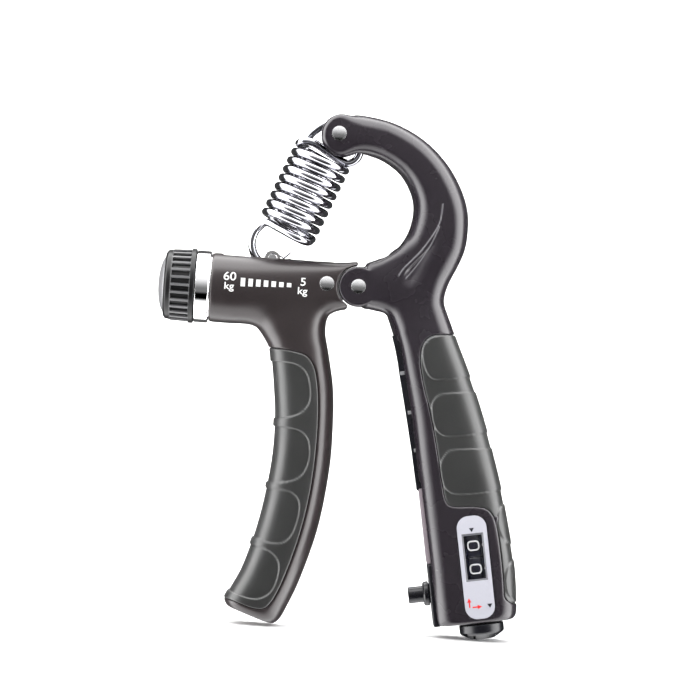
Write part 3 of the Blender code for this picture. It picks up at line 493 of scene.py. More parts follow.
def round_box(width, length, radius, middle=(0.0, 0.0), count=8):
    points = []
    for sx, sz, start in ((1, 1, 0), (-1, 1, 90), (-1, -1, 180), (1, -1, 270)):
        corner = (middle[0] + sx * (width / 2 - radius), middle[1] + sz * (length / 2 - radius))
        points += arc(corner, radius, start, start + 90, count)
    return points


def turned(name, profile, matrix, sides):
    """A turned body from (radius, height) points about a matrix's z axis, a tube if no end is on it."""
    angles = [math.tau * k / sides for k in range(sides)]
    rings = [[(r * math.cos(a), r * math.sin(a), h) for a in angles] for r, h in profile]
    hollow = profile[0][0] > 0.01 and profile[-1][0] > 0.01
    return smooth(rings_thing(name, rings, matrix, ends=not hollow), 32)


def both_ways(name, half, point, sides):
    """A turned body along y at a design point, from the profile of its front half."""
    turn = at_point(point) @ Matrix.Rotation(math.pi / 2, 4, "X")
    return turned(name, half + [(r, -h) for r, h in reversed(half)], turn, sides)


def rounded(profile, radius, count=5):
    """A profile with each inner corner replaced by a small arc-like curve."""
    points = [profile[0]]
    for before, corner, after in zip(profile, profile[1:], profile[2:]):
        corner_at = Vector(corner)
        to_before, to_after = Vector(before) - corner_at, Vector(after) - corner_at
        reach = min(radius, to_before.length * 0.45, to_after.length * 0.45)
        one, two = corner_at + to_before.normalized() * reach, corner_at + to_after.normalized() * reach
        for k in range(count + 1):
            t = k / count
            points.append(tuple(one * (1 - t) ** 2 + corner_at * 2 * t * (1 - t) + two * t**2))
    points.append(profile[-1])
    return points


def tube(name, points, radius, sides=20):
    """A round wire through points in design millimetres, with rounded tips."""
    path = [Vector(p) for p in points]
    side = Vector((0.0, 1.0, 0.0))
    rings = []
    last = len(path) - 1
    for k, point in enumerate(path):
        ahead = (path[min(k + 1, last)] - path[max(k - 1, 0)]).normalized()
        side = (side - ahead * side.dot(ahead)).normalized()
        other = ahead.cross(side)
        rings.append([
            tuple(point + (side * math.cos(a) + other * math.sin(a)) * radius)
            for a in (math.tau * i / sides for i in range(sides))
        ])
    for end, inner in ((0, 1), (-1, -2)):
        out = (path[end] - path[inner]).normalized()
        tip = [
            [tuple(path[end] + (Vector(p) - path[end]) * scale + out * radius * push) for p in rings[end]]
            for scale, push in ((0.92, 0.25), (0.6, 0.5))
        ]
        rings = [tip[1], tip[0], *rings] if end == 0 else [*rings, tip[0], tip[1]]
    wire = smooth(rings_thing(name, rings), 60)
    wire.data.materials.append(LOOKS["spring_wire"])
    return wire


def combine(target, operation, tools):
    for tool in tools:
        change = target.modifiers.new(tool.name, "BOOLEAN")
        change.operation = operation
        change.object = tool
        change.solver = "EXACT"
    settle(target)
    for tool in tools:
        bpy.data.objects.remove(tool, do_unlink=True)
    return target


def settle(thing):
    """Makes an object's modifiers part of its mesh."""
    graph = bpy.context.evaluated_depsgraph_get()
    mesh = bpy.data.meshes.new_from_object(thing.evaluated_get(graph))
    thing.modifiers.clear()
    thing.data = mesh


def remesh(thing, voxel):
    change = thing.modifiers.new("voxels", "REMESH")
    change.mode = "VOXEL"
    change.voxel_size = voxel * MM
    settle(thing)


def vectors_of(thing, name="co"):
    """The position or the normal of each vertex."""
    flat = np.empty(len(thing.data.vertices) * 3)
    thing.data.vertices.foreach_get(name, flat)
    return flat.reshape(-1, 3)


def put_points(thing, points):
    thing.data.vertices.foreach_set("co", points.ravel())
    thing.data.update()


def in_design(points):
    return (points - np.array(PIVOT)) / MM


def relax(thing, rounds, weight=None):
    """Moves each vertex half way to its neighbours' middle, again and again, as weight(x, y, z) says."""
    points = vectors_of(thing)
    ends = np.empty(len(thing.data.edges) * 2, np.int64)
    thing.data.edges.foreach_get("vertices", ends)
    one, two = ends[0::2], ends[1::2]
    count = len(points)
    near = np.bincount(one, minlength=count) + np.bincount(two, minlength=count)
    share = np.full(count, 0.5) if weight is None else 0.5 * weight(*in_design(points).T)
    for _ in range(rounds):
        for axis in range(3):
            value = points[:, axis]
            total = np.bincount(one, value[two], count) + np.bincount(two, value[one], count)
            points[:, axis] = value + share * (total / near - value)
    put_points(thing, points)


def carve(thing, lift):
    """Moves each vertex along its normal by lift(x, y, z) millimetres."""
    points = vectors_of(thing)
    points += vectors_of(thing, "normal") * (lift(*in_design(points).T) * MM)[:, None]
    put_points(thing, points)


def mark_outline(thing, mask):
    """Stores how strongly each vertex takes a painted highlight, from mask(x, y, z)."""
    layer = thing.data.attributes.new("outline", "FLOAT", "POINT")
    layer.data.foreach_set("value", mask(*in_design(vectors_of(thing)).T))


def trim(thing, keep):
    """Deletes the faces that have no corner kept by keep(x, y, z)."""
    kept = keep(*in_design(vectors_of(thing)).T)
    shape = bmesh.new()
    shape.from_mesh(thing.data)
    shape.verts.ensure_lookup_table()
    gone = [face for face in shape.faces if not any(kept[v.index] for v in face.verts)]
    bmesh.ops.delete(shape, geom=gone, context="FACES")
    shape.to_mesh(thing.data)
    shape.free()


# Outlines as fields


def step(low, high, value):
    t = np.clip((value - low) / (high - low), 0.0, 1.0)
    return t * t * (3.0 - 2.0 * t)


def softened(outline, rounds=3):
    """A closed outline with its corners cut again and again."""
    for _ in range(rounds):
        pairs = zip(outline, outline[1:] + outline[:1])
        outline = [
            (a[0] + (b[0] - a[0]) * t, a[1] + (b[1] - a[1]) * t) for a, b in pairs for t in (0.25, 0.75)
        ]
    return outline


def off_line(x, z, line):
    """The distance of each point from a line through points."""
    best = np.full(x.shape, 1e9)
    for (ax, az), (bx, bz) in zip(line, line[1:]):
        vx, vz = bx - ax, bz - az
        t = np.clip(((x - ax) * vx + (z - az) * vz) / (vx * vx + vz * vz), 0.0, 1.0)
        best = np.minimum(best, np.hypot(x - ax - t * vx, z - az - t * vz))
    return best


def within(x, z, outline):
    """How far each point lies inside a closed outline, negative outside."""
    ring = outline + outline[:1]
    odd = np.zeros(x.shape, bool)
    for (ax, az), (bx, bz) in zip(ring, ring[1:]):
        if az != bz:
            odd ^= ((az > z) != (bz > z)) & (x < ax + (z - az) / (bz - az) * (bx - ax))
    away = off_line(x, z, ring)
    return np.where(odd, away, -away)


def deepest(x, z, outlines):
    """How far each point lies inside the nearest of several outlines, negative outside all."""
    return np.max([within(x, z, outline) for outline in outlines], axis=0)


def fading(distance, width=LINE_WIDTH):
    """A mark that is full on a line and fades out over a width."""
    return np.exp(-(distance / width) ** 2)


def around(x, z, places):
    """A weight that is full near each (x, z, reach) and nothing beyond its reach."""
    near = [1.0 - step(reach * 0.5, reach, np.hypot(x - px, z - pz)) for px, pz, reach in places]
    return np.max(near, axis=0)


# Shells of the two handles


def facing_out(thing):
    """A weight for relax that takes in only the broad front and back faces."""
    facing = step(0.955, 0.98, np.abs(vectors_of(thing, "normal")[:, 1]))
    return lambda x, y, z: facing * step(4.0, 5.5, np.abs(y))


def left_body():
    body = loft("left_body", BARREL, 6, 96)
    combine(body, "UNION", [loft("left_lever", LEFT_LEVER, 8, 96)])
    slot_side = [(-42.8, 14.0), (-42.8, 6.0), (-40.0, 1.0), (-17.5, 1.0), (-13.2, 6.0), (-13.2, 14.0)]
    reach = TONGUE_RADIUS + 0.3
    fork = arc(PIVOT_AT, reach, -90, 90, 12) + arc(FIXING_RIVET, reach, 90, 270, 12)
    combine(body, "DIFFERENCE", [
        rod("bore", (-50, 0, AXIS_Z), (-15.6, 0, AXIS_Z), BORE_RADIUS),
        slab("slot", slot_side, -3.6, 3.6),
        cross_rod("nose", PIVOT_AT, 20, BOSS_RADIUS + 0.3),
        slab("fork", fork, -TONGUE_HALF, TONGUE_HALF),
        cross_rod("rivet_way", FIXING_RIVET, 20, PIN_HOLE),
    ])
    remesh(body, BODY_VOXEL)
    relax(body, LEFT_ROUNDS)
    crook = [(-31.0, -14.5, 9.0), (-8.0, -9.5, 5.5), (-20.0, -13.5, 12.0), (-13.0, -12.0, 9.0)]

    def near_crook(x, y, z):
        off_bore = step(BORE_RADIUS + 0.8, BORE_RADIUS + 1.8, np.hypot(y, z - AXIS_Z))
        return around(x, z, crook) * off_bore

    relax(body, CROOK_ROUNDS, near_crook)
    outline = softened(LEFT_GRIP)
    carve(body, lambda x, y, z: -GRIP_RECESS * step(-SEAM, SEAM, within(x, z, outline)))
    return finished(body, "finger_handle", "left_plastic", ["left_handle"])


def grip_skin(name, stations, steps, count, outline):
    """The lever's own surface, cut to a little outside the grip's outline."""
    grip = loft(name, stations, steps, count)
    trim(grip, lambda x, y, z: within(x, z, outline) > -SKIN_MARGIN)
    return grip


def left_grip():
    outline = softened(LEFT_GRIP)
    grooves = [softened(groove) for groove in FINGER_GROOVES]
    grip = grip_skin("left_grip_skin", LEFT_LEVER, 40, 240, outline)

    # Painted highlight round the finger grooves and along the grip's edge.
    def mask(x, y, z):
        edge = within(x, z, outline)
        rim_highlights = fading(deepest(x, z, grooves) + RIM_SHIFT) * step(7.0, 3.0, edge) * 0.6
        return np.maximum(rim_highlights, fading(edge - 0.25) * 0.4)

    def lift(x, y, z):
        dip = FINGER_DEPTH * step(-0.12, 0.22, deepest(x, z, grooves))
        sink = (GRIP_SINK + FINGER_RISE) * step(SEAM, -SEAM, within(x, z, outline))
        return FINGER_RISE - dip - sink

    mark_outline(grip, mask)
    carve(grip, lift)
    return finished(smooth(grip, 60), "finger_handle", "grip_rubber", ["left_grip"])


def boss(name, point, radius, half_depth, edge):
    """A round boss through the handle, with its corners rounded by edge."""
    turns = np.linspace(0, 1.57, 8)
    corner = [(radius - edge + edge * math.sin(a), half_depth - edge + edge * math.cos(a)) for a in turns]
    return both_ways(name, [(0.001, half_depth), *corner], point, 64)


def right_body():
    body = loft("right_body", RIGHT_ARM, 5, 80)
    combine(body, "UNION", [
        loft("bridge", BRIDGE, 4, 64),
        slab("corner_fill", CORNER_FILL, -8.6, 8.6),
        boss("pivot_boss", PIVOT_AT, BOSS_RADIUS, BOSS_HALF_DEPTH, 0.8),
        boss("hook_boss", HOOK_BOSS, HOOK_BOSS_RADIUS, HOOK_HALF_DEPTH, 2.2),
    ])
    channel = slab("channel", CHANNEL, -7.0, 7.0)
    ribs = []
    for k, point in enumerate(CHANNEL_RIBS):
        lean = at_point(point) @ Matrix.Rotation(-math.radians(15), 4, "Y")
        ribs.append(box(f"rib_{k}", (0.4, -8, -0.6), (12, 8, 0.6), lean))
    combine(channel, "DIFFERENCE", ribs)
    fork = arc(PIVOT_AT, TONGUE_RADIUS + 0.5, -90, 90, 12) + [(0, 8.0), (-8.0, 8.0), (-8.0, -8.0), (0, -8.0)]
    combine(body, "DIFFERENCE", [
        channel,
        box("cavity", (-9.3, -11.0, -18.8), (8.0, 6.0, 12.0), COUNTER),
        box("throat", (-12.4, -7.6, -18.5), (-9.1, 5.7, 11.7), COUNTER),
        box("inner_way", (-20, -7.9, -20.95), (-12.2, 7.9, 25.0), COUNTER),
        box("window_way", (-3.8, -16, -7.9), (3.8, -9, 7.9), COUNTER),
        rod("neck", (0, DRUM_Y, -30), (0, DRUM_Y, -15), 2.8, COUNTER),
        box("back", (-16, 12.2, -19), (16, 20, 14), COUNTER),
        slab("fork", fork, -TONGUE_HALF, TONGUE_HALF),
        cross_rod("hook_slot", (-11.2, 44.2), 2.15, 11.2),
        cross_rod("pivot_way", PIVOT_AT, 20, PIN_HOLE),
        cross_rod("hook_way", HOOK_PIN, 20, PIN_HOLE),
    ])
    remesh(body, BODY_VOXEL)
    relax(body, RIGHT_ROUNDS)
    joins = [(10.5, 11.0, 10.0), (10.0, -8.5, 7.5), (-3.0, 47.0, 10.0)]

    def near_joins(x, y, z):
        off_rivets = np.minimum(np.hypot(x - HOOK_PIN[0], z - HOOK_PIN[1]), np.hypot(x, z))
        return around(x, z, joins) * step(2.4, 4.0, np.abs(y)) * step(2.2, 3.4, off_rivets)

    relax(body, JOIN_ROUNDS, near_joins)
    relax(body, FACE_ROUNDS, facing_out(body))
    outline = softened(RIGHT_GRIP)
    sharp, soft, glint = through(GROOVE_SHARP, 6), through(GROOVE_SOFT, 6), through(GROOVE_GLINT, 6)
    label = round_box(9.7, 32.0, 4.1, (0.0, LABEL_MIDDLE_Z))
    tilt = np.array(COUNTER.inverted())

    # Painted highlight along the groove's sharp side and the line beside it, on the front and back faces.
    def mask(x, y, z):
        lines = np.maximum(fading(off_line(x, z, sharp)), fading(off_line(x, z, glint)) * 0.8)
        return lines * step(2.0, 8.0, np.abs(y))

    def lift(x, y, z):
        seat = GRIP_RECESS * step(-SEAM, SEAM, within(x, z, outline))
        in_drop = within(x, z, sharp + soft[1:-1]) > 0
        near_sharp = off_line(x, z, sharp)
        ledge = 0.3 * step(0.0, 0.4, near_sharp) + 0.7 * step(0.8, 1.7, near_sharp)
        drop = in_drop * DROP_DEPTH * ledge * step(0.0, 5.0, off_line(x, z, soft))
        metres = np.stack([x, y, z, np.full(x.shape, 1.0)])
        metres[:3] = metres[:3] * MM + np.array(PIVOT)[:, None]
        local = tilt @ metres / MM
        pocket = LABEL_POCKET * step(-0.2, 0.2, within(local[0], local[2], label)) * (y < -8.0)
        return -(seat + drop + pocket)

    mark_outline(body, mask)
    carve(body, lift)
    return finished(body, "palm_handle", "right_plastic", ["right_handle"])


def right_grip():
    outline = softened(RIGHT_GRIP)
    pads = [softened(pad) for pad in PALM_PADS]
    grip = grip_skin("right_grip_skin", RIGHT_ARM[LEVER_START:], 42, 250, outline)

    # Painted highlight round the pads and along the upper part of the grip's edge.
    def mask(x, y, z):
        edge = within(x, z, outline)
        rim_highlights = fading(deepest(x, z, pads) + RIM_SHIFT) * step(6.0, 2.5, edge) * 0.6
        return np.maximum(rim_highlights, fading(edge - 0.25, 0.2) * step(-24.0, -15.0, z))

    def lift(x, y, z):
        sunk = PAD_HEIGHT * (step(-0.15, 0.15, deepest(x, z, pads)) - 1.0)
        return sunk - (GRIP_SINK - 0.4) * step(SEAM, -SEAM, within(x, z, outline))

    mark_outline(grip, mask)
    carve(grip, lift)
    return finished(smooth(grip, 60), "palm_handle", "grip_rubber", ["right_grip"])


# Pins, ring, knob and cap


def finished(piece, body, slot, nodes=(), material=None):
    """Gives a piece its material (its own, else the slot's look), parents it to the body it rides on and hides the
    nodes it stands for.
    """
    piece.data.materials.clear()
    piece.data.materials.append(material or LOOKS[slot])
    if not piece.data.attributes.get("sharp_edge"):
        smooth(piece, 55)
    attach(piece, body)
    if nodes:
        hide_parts(*nodes)
    return piece


def rivet(name, point, half_grip, body, node):
    """A rivet with a shallow round cap on both sides."""
    sphere = RIVET_RADIUS / math.sin(RIVET_EDGE_ANGLE)
    low = half_grip + 0.5 - sphere * math.cos(RIVET_EDGE_ANGLE)
    turns = np.linspace(0.0005, RIVET_EDGE_ANGLE, 12)
    cap = [(sphere * math.sin(a), low + sphere * math.cos(a)) for a in turns]
    under = half_grip - 0.15
    rim = [(RIVET_RADIUS + 0.04, half_grip + 0.42), (RIVET_RADIUS, under), (1.6, under)]
    return finished(both_ways(name, cap + rim, point, 48), body, "polished_steel", [node])


ALONG_BARREL = at_point((0, AXIS_Z)) @ Matrix.Rotation(math.pi / 2, 4, "Y")


def chrome_ring():
    inner = BORE_RADIUS + 0.2
    profile = rounded([
        (inner, -46.3), (10.3, -46.3), (10.3, -46.75), (RING_RADIUS, -46.75), (RING_RADIUS, -51.1),
        (inner, -51.1),
    ], 0.35)
    piece = turned("adjuster_ring", profile, ALONG_BARREL, 128)
    return finished(piece, "finger_handle", "chrome", ["chrome_ring"])


def knob_radius(x, turn):
    """The knob's outer radius at a distance along the barrel and a share of a turn."""
    bar = float(step(0.30, 0.36, np.array(abs((turn * KNOB_RIBS) % 1.0 - 0.5))))
    ribbed = float(step(-58.7, -58.3, np.array(x)) * step(-52.7, -53.0, np.array(x)))
    return ribbed * (0.9 * bar - 1.0)


def adjuster_knob():
    profile = rounded([
        (0.01, -51.3), (11.7, -51.3), (11.75, -52.75), (11.45, -52.9), (11.3, -58.4), (10.95, -58.9),
        (10.8, -60.3), (9.6, -61.0), (9.3, -60.4), (0.01, -60.3),
    ], 0.3, 3)
    dense = [profile[0]]
    for one, two in zip(profile, profile[1:]):
        pieces = max(1, round(abs(two[1] - one[1]) / 0.25)) if one[0] > 8.0 else 1
        dense += [(one[0] + (two[0] - one[0]) * k / pieces, one[1] + (two[1] - one[1]) * k / pieces)
                  for k in range(1, pieces + 1)]
    sides = KNOB_RIBS * 14
    rings = []
    for r, x in dense:
        ring = []
        for k in range(sides):
            reach = r + (knob_radius(x, k / sides) if r > 10.9 else 0.0)
            angle = math.tau * k / sides
            ring.append((reach * math.cos(angle), reach * math.sin(angle), x))
        rings.append(ring)
    piece = smooth(rings_thing("ribbed_knob", rings, ALONG_BARREL), 32)

    # Painted highlight on the tops of the ribs.
    def rib_tops(x, y, z):
        return step(10.75, 11.05, np.hypot(y, z - AXIS_Z)) * step(-58.9, -58.5, x) * step(-52.6, -52.9, x)

    mark_outline(piece, rib_tops)
    return finished(piece, "adjuster", "black_plastic", ["adjuster_knob"], KNOB_RIBBED)


def knob_cap():
    dome = [(9.15 * math.sin(a), -60.2 - 2.75 * math.cos(a)) for a in np.linspace(math.pi / 2, 0.001, 24)]
    piece = turned("domed_cap", [(0.01, -59.6), (9.0, -59.6), *dome], ALONG_BARREL, 128)
    return finished(piece, "adjuster", "cap_grey", ["knob_cap"])


# Tension spring


COIL_LEAN = math.radians(COIL_AXIS_DEG)
COIL_UP = Vector((math.cos(COIL_LEAN), 0.0, math.sin(COIL_LEAN)))
COIL_CENTRE = Vector((COIL_MIDDLE[0], 0.0, COIL_MIDDLE[1]))


def coil_points(steps_per_turn=56):
    """The helix from its lower right end upwards."""
    right = Vector((math.sin(COIL_LEAN), 0.0, -math.cos(COIL_LEAN)))
    points = []
    steps = COIL_HALF_TURNS * steps_per_turn // 2
    for k in range(steps + 1):
        half_turns = COIL_HALF_TURNS * k / steps
        angle = math.pi * half_turns
        round_it = right * math.cos(angle) + Vector((0.0, 1.0, 0.0)) * math.sin(angle)
        height = COIL_LENGTH * (half_turns / COIL_HALF_TURNS - 0.5)
        points.append(tuple(COIL_CENTRE + COIL_UP * height + round_it * COIL_RADIUS))
    return points


def lower_hook_points(start):
    hook = [(x, 0.0, z) for x, z in arc((-27.0, 11.7), 7.4, -46, -215, 40)]
    bend = [
        hook[-1], (-30.3, -1.6, 18.2), (-26.2, -4.6, 16.6), (-20.6, -6.9, 14.0), (-17.0, -4.4, 12.9), start,
    ]
    return hook[:-1] + through(bend, 10)


def eye_points(start):
    route = [
        start, (-20.4, -1.9, 44.5), (-17.2, -1.7, 44.2), (-13.4, -0.5, 42.2), (-9.6, 0.0, 39.9),
        (-6.0, 0.0, 38.6), (-3.2, 0.0, 40.3), (-2.2, 0.0, 44.2), (-3.2, 0.0, 48.2), (-6.4, 0.0, 50.9),
        (-10.3, 0.0, 51.5), (-14.2, 0.1, 50.2), (-17.4, 0.8, 47.8), (-19.2, 1.4, 45.6),
    ]
    return through(route, 9)


def tension_spring():
    coil = coil_points()
    wire = tube("spring_coil", lower_hook_points(coil[0]) + coil[1:], WIRE_RADIUS)
    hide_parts("tension_spring_lower", "tension_spring_upper")
    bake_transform(wire)
    clip_route = [(-29.9, 7.4), (-29.2, 9.0), (-25.8, 8.2), (-24.0, 7.3), (-22.0, 9.2)]
    clip = tube("pin_clip", [(x, -2.9, z) for x, z in clip_route], 0.28, 12)
    finished(clip, "nut", "spring_wire")
    eye = tube("spring_eye_loop", eye_points(coil[-1]), WIRE_RADIUS)
    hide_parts("tension_spring_eye")
    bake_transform(eye)


# Prints


def text_mesh(words, size, bold, squeeze=1.0):
    """Flat letters in the XZ plane, about their own middle, as a bmesh in millimetres."""
    curve = bpy.data.curves.new("letters", "FONT")
    curve.body = words
    curve.size = size
    curve.offset = bold
    curve.align_x = "CENTER"
    curve.align_y = "CENTER"
    curve.resolution_u = 8
    made = bpy.data.objects.new("letters", curve)
    bpy.context.scene.collection.objects.link(made)
    graph = bpy.context.evaluated_depsgraph_get()
    mesh = bpy.data.meshes.new_from_object(made.evaluated_get(graph))
    bpy.data.objects.remove(made, do_unlink=True)
    shape = bmesh.new()
    shape.from_mesh(mesh)
    bmesh.ops.transform(shape, matrix=Matrix.Rotation(math.pi / 2, 4, "X"), verts=shape.verts)
    bmesh.ops.scale(shape, vec=(squeeze, 1.0, 1.0), verts=shape.verts)
    return shape


def flat_shape(*outlines):
    shape = bmesh.new()
    for outline in outlines:
        shape.faces.new([shape.verts.new((x, 0.0, z)) for x, z in outline])
    return shape


def fine(shape, longest):
    """Splits a flat shape until no edge is longer than it should be."""
    bmesh.ops.triangulate(shape, faces=shape.faces)
    for _ in range(6):
        long_edges = [edge for edge in shape.edges if edge.calc_length() > longest]
        if not long_edges:
            break
        bmesh.ops.subdivide_edges(shape, edges=long_edges, cuts=1)
        bmesh.ops.triangulate(shape, faces=shape.faces)
    return shape


def printed(name, shape, x, z, target, body, slot, material, matrix=DESIGN):
    """Lays a flat print on a piece's front surface at (x, z) of a frame."""
    fine(shape, 0.45)
    bmesh.ops.translate(shape, vec=(x, 0, z), verts=shape.verts)
    piece = thing_from(name, shape, matrix)
    tree = BVHTree.FromObject(target, bpy.context.evaluated_depsgraph_get())
    inverse = target.matrix_world.inverted()
    for vertex in piece.data.vertices:
        start = Vector((vertex.co.x, -0.05, vertex.co.z))
        hit = tree.ray_cast(inverse @ start, inverse.to_3x3() @ Vector((0, 1, 0)))[0]
        if hit is not None:
            vertex.co.y = (target.matrix_world @ hit).y - PRINT_RISE * MM
    facing = bmesh.new()
    facing.from_mesh(piece.data)
    turned_away = [face for face in facing.faces if face.normal.y > 0]
    bmesh.ops.reverse_faces(facing, faces=turned_away)
    facing.to_mesh(piece.data)
    facing.free()
    return finished(piece, body, slot, (), material)


def barrel_scale(target):
    """The printed force scale: its two ends in words and seven blocks that grow with the force."""

    def lay(name, shape, x, z):
        printed(name, shape, x, z, target, "finger_handle", "left_plastic", PRINT_WHITE)

    for name, words, size, x, z in (
        ("scale_high", "60", 3.7, -40.3, 0.3), ("scale_high_unit", "kg", 3.1, -40.4, -2.7),
        ("scale_low", "5", 3.5, -17.3, 0.1), ("scale_low_unit", "kg", 3.1, -17.4, -2.7),
    ):
        lay(name, text_mesh(words, size, 0.035, 1.12), x, z)
    half_width = 0.7
    for k in range(7):
        share = k / 6
        height = 2.65 - 1.35 * share
        block = [(-half_width, 0.0), (half_width, 0.0), (half_width, height), (-half_width, height)]
        lay(f"scale_block_{k + 1}", flat_shape(block), -36.1 + 14.45 * share, -2.5 + 0.75 * share)


# Counter


def bevelled(piece, width, segments=3):
    change = piece.modifiers.new("edges", "BEVEL")
    change.width = width * MM
    change.segments = segments
    change.limit_method = "ANGLE"
    change.angle_limit = math.radians(40)
    settle(piece)
    return smooth(piece, 40)


def in_counter(x, y, z):
    return COUNTER @ Matrix.Translation(Vector((x, y, z)) * MM)


def counter_label():
    outline = round_box(9.3, 32.3, 3.8, (0.0, LABEL_MIDDLE_Z), 12)
    label = slab("label_plate", outline, -12.55, -11.95, COUNTER)
    combine(label, "DIFFERENCE", [box("label_opening", (-3.4, -16, -7.3), (3.4, -9, 7.6), COUNTER)])
    bevelled(label, 0.12)
    finished(label, "palm_handle", "label_white", ["counter_label"])
    shaft = [(-0.22, -1.45), (0.22, -1.45), (0.22, 0.35), (-0.22, 0.35)]
    head = [(-0.68, 0.2), (0.68, 0.2), (0.0, 1.6)]
    lying = [[(z, -x) for x, z in part] for part in (shaft, head)]
    pointer = [(-0.8, 0.65), (0.0, -0.65), (0.8, 0.65)]
    marks = [
        ("mark_window", flat_shape(pointer), -0.1, 8.65, PRINT_BLACK),
        ("mark_reset", flat_shape(pointer), 3.1, -15.4, PRINT_BLACK),
        ("arrow_up", flat_shape(shaft, head), -3.2, -14.0, PRINT_RED),
        ("arrow_right", flat_shape(*lying), -0.9, -15.4, PRINT_RED),
    ]
    for name, shape, x, z, material in marks:
        printed(name, shape, x, z, label, "palm_handle", "label_white", material, COUNTER)


def window_bezel():
    """The grey sloped frame between the label and the window."""
    sizes = ((6.75, 14.8, -12.3), (6.75, 14.8, -11.75), (5.7, 13.7, -11.75), (5.75, 13.75, -11.85))
    rings = [
        [(x, y, z) for x, z in round_box(width, length, 0.25, (0.0, 0.1), 3)] for width, length, y in sizes
    ]
    piece = smooth(rings_thing("window_bezel", rings, COUNTER, ends=False), 30)
    return finished(piece, "palm_handle", "grey_plastic", (), BEZEL_GREY)


def zero_shape():
    """A wide rounded zero, as a ring between two round boxes."""
    outlines = (round_box(3.2, 3.85, 1.2), round_box(2.3, 2.95, 0.8))
    shape = bmesh.new()
    outer, inner = [[shape.verts.new((x, 0.0, z)) for x, z in outline] for outline in outlines]
    for k, corner in enumerate(outer):
        after = (k + 1) % len(outer)
        shape.faces.new((corner, outer[after], inner[after], inner[k]))
    return fine(shape, 0.5)


def digit_wheel(name, middle, body, node):
    """A drum with its ten digits round it, reading sideways, with the zero at the window."""
    ends = ((WHEEL_HUB, 1), (DRUM_RADIUS, 1), (DRUM_RADIUS, -1), (WHEEL_HUB, -1))
    profile = [(radius, side * WHEEL_HALF) for radius, side in ends]
    drum_frame = in_counter(0.0, DRUM_Y, middle)
    wheel = turned(name, rounded(profile, 0.25), drum_frame, 128)
    finished(wheel, body, "drum_black", [node])
    reach = DRUM_RADIUS + PRINT_RISE
    digits = bmesh.new()
    for digit in range(DIGITS):
        shape = zero_shape() if digit == 0 else fine(text_mesh(str(digit), 2.7, 0.05, 1.3), 0.4)
        for vertex in shape.verts:
            angle = digit * math.tau / DIGITS + vertex.co.z / DRUM_RADIUS
            vertex.co = (-reach * math.sin(angle), -reach * math.cos(angle), vertex.co.x)
        copy = bpy.data.meshes.new("digit")
        shape.to_mesh(copy)
        shape.free()
        digits.from_mesh(copy)
        bpy.data.meshes.remove(copy)
    piece = thing_from(f"{name}_digits", digits, drum_frame)
    return finished(piece, body, "drum_black", (), PRINT_WHITE)


def faceplate():
    plate = box("button_plate", (-15.0, -7.6, -20.7), (-12.5, 7.6, -0.9), COUNTER)
    combine(plate, "DIFFERENCE", [rod("plate_hole", (-20, *PLUNGER), (-9, *PLUNGER), 3.25, COUNTER)])
    finished(bevelled(plate, 0.5), "palm_handle", "black_plastic", ["counter_faceplate"])


def along_button():
    return in_counter(0.0, *PLUNGER) @ Matrix.Rotation(math.pi / 2, 4, "Y")


def button_collar():
    profile = rounded([
        (2.75, -12.6), (3.1, -12.6), (3.1, -15.2), (3.9, -15.2), (3.85, -16.6), (3.3, -17.1), (2.75, -17.1),
    ], 0.25)
    piece = turned("button_flange", profile, along_button(), 64)
    finished(piece, "palm_handle", "black_plastic", ["button_collar"])


def count_button():
    profile = rounded([
        (0.01, -4.9), (1.0, -4.9), (1.0, -10.6), (2.6, -10.6), (2.6, -21.8), (2.0, -21.85), (1.8, -21.5),
        (0.01, -21.45),
    ], 0.3)
    piece = turned("push_button", profile, along_button(), 64)
    finished(piece, "button", "black_plastic", ["count_button"])


def channel_cover():
    cover = box("cover_strip", (-15.1, -7.6, -0.6), (-13.4, 7.6, 23.0), COUNTER)
    finished(bevelled(cover, 0.4), "palm_handle", "grey_plastic", ["channel_cover"])


def channel_liner():
    """The black strip above the cover, a little proud of the handle's inner face, and its ribs."""
    face = [
        (12.9, -14.6), (14.2, -18.6), (15.2, -22.5), (16.3, -27.5), (19.0, -39.0), (21.7, -51.0),
        (24.0, -62.5),
    ]
    outline = [(x - 1.3, z) for x, z in face] + [(x + 2.5, z) for x, z in reversed(face)]
    strip = slab("liner_strip", outline, -6.4, 6.4)
    finished(bevelled(strip, 0.2, 2), "palm_handle", "black_plastic")
    for k, point in enumerate(CHANNEL_RIBS):
        lean = at_point(point) @ Matrix.Rotation(-math.radians(14), 4, "Y")
        rib = box(f"liner_rib_{k}", (-0.75, -6.5, -0.6), (2.0, 6.5, 0.6), lean)
        finished(bevelled(rib, 0.2, 2), "palm_handle", "cap_grey")


def reset_knob():
    profile = rounded([
        (0.01, -21.2), (RESET_RADIUS, -21.2), (RESET_RADIUS, -23.7), (6.6, -24.2), (3.7, -25.85),
        (0.01, -25.9),
    ], 0.25)
    piece = turned("reset_dial", profile, in_counter(0.0, DRUM_Y, 0.0), 128)
    combine(piece, "DIFFERENCE", [
        box("wide_notch", (-6.1, DRUM_Y - 9, -27), (-4.7, DRUM_Y - 2.0, -23.6), COUNTER),
        box("thin_notch", (-3.0, DRUM_Y - 9, -27), (-2.3, DRUM_Y - 1.0, -24.7), COUNTER),
    ])
    finished(bevelled(piece, 0.15, 2), "reset", "black_plastic", ["reset_knob"])


# Kept nodes, stage, light and camera


def dress_kept_nodes():
    slots = {part["node"]: part["material_slot"] for part in frame["record"]["subparts"]}
    for name, node in frame["nodes"].items():
        material = NUT_PLATED if name == "travelling_nut" else LOOKS[slots[name]]
        if node.material_slots:
            for slot in node.material_slots:
                slot.material = material
        else:
            node.data.materials.append(material)


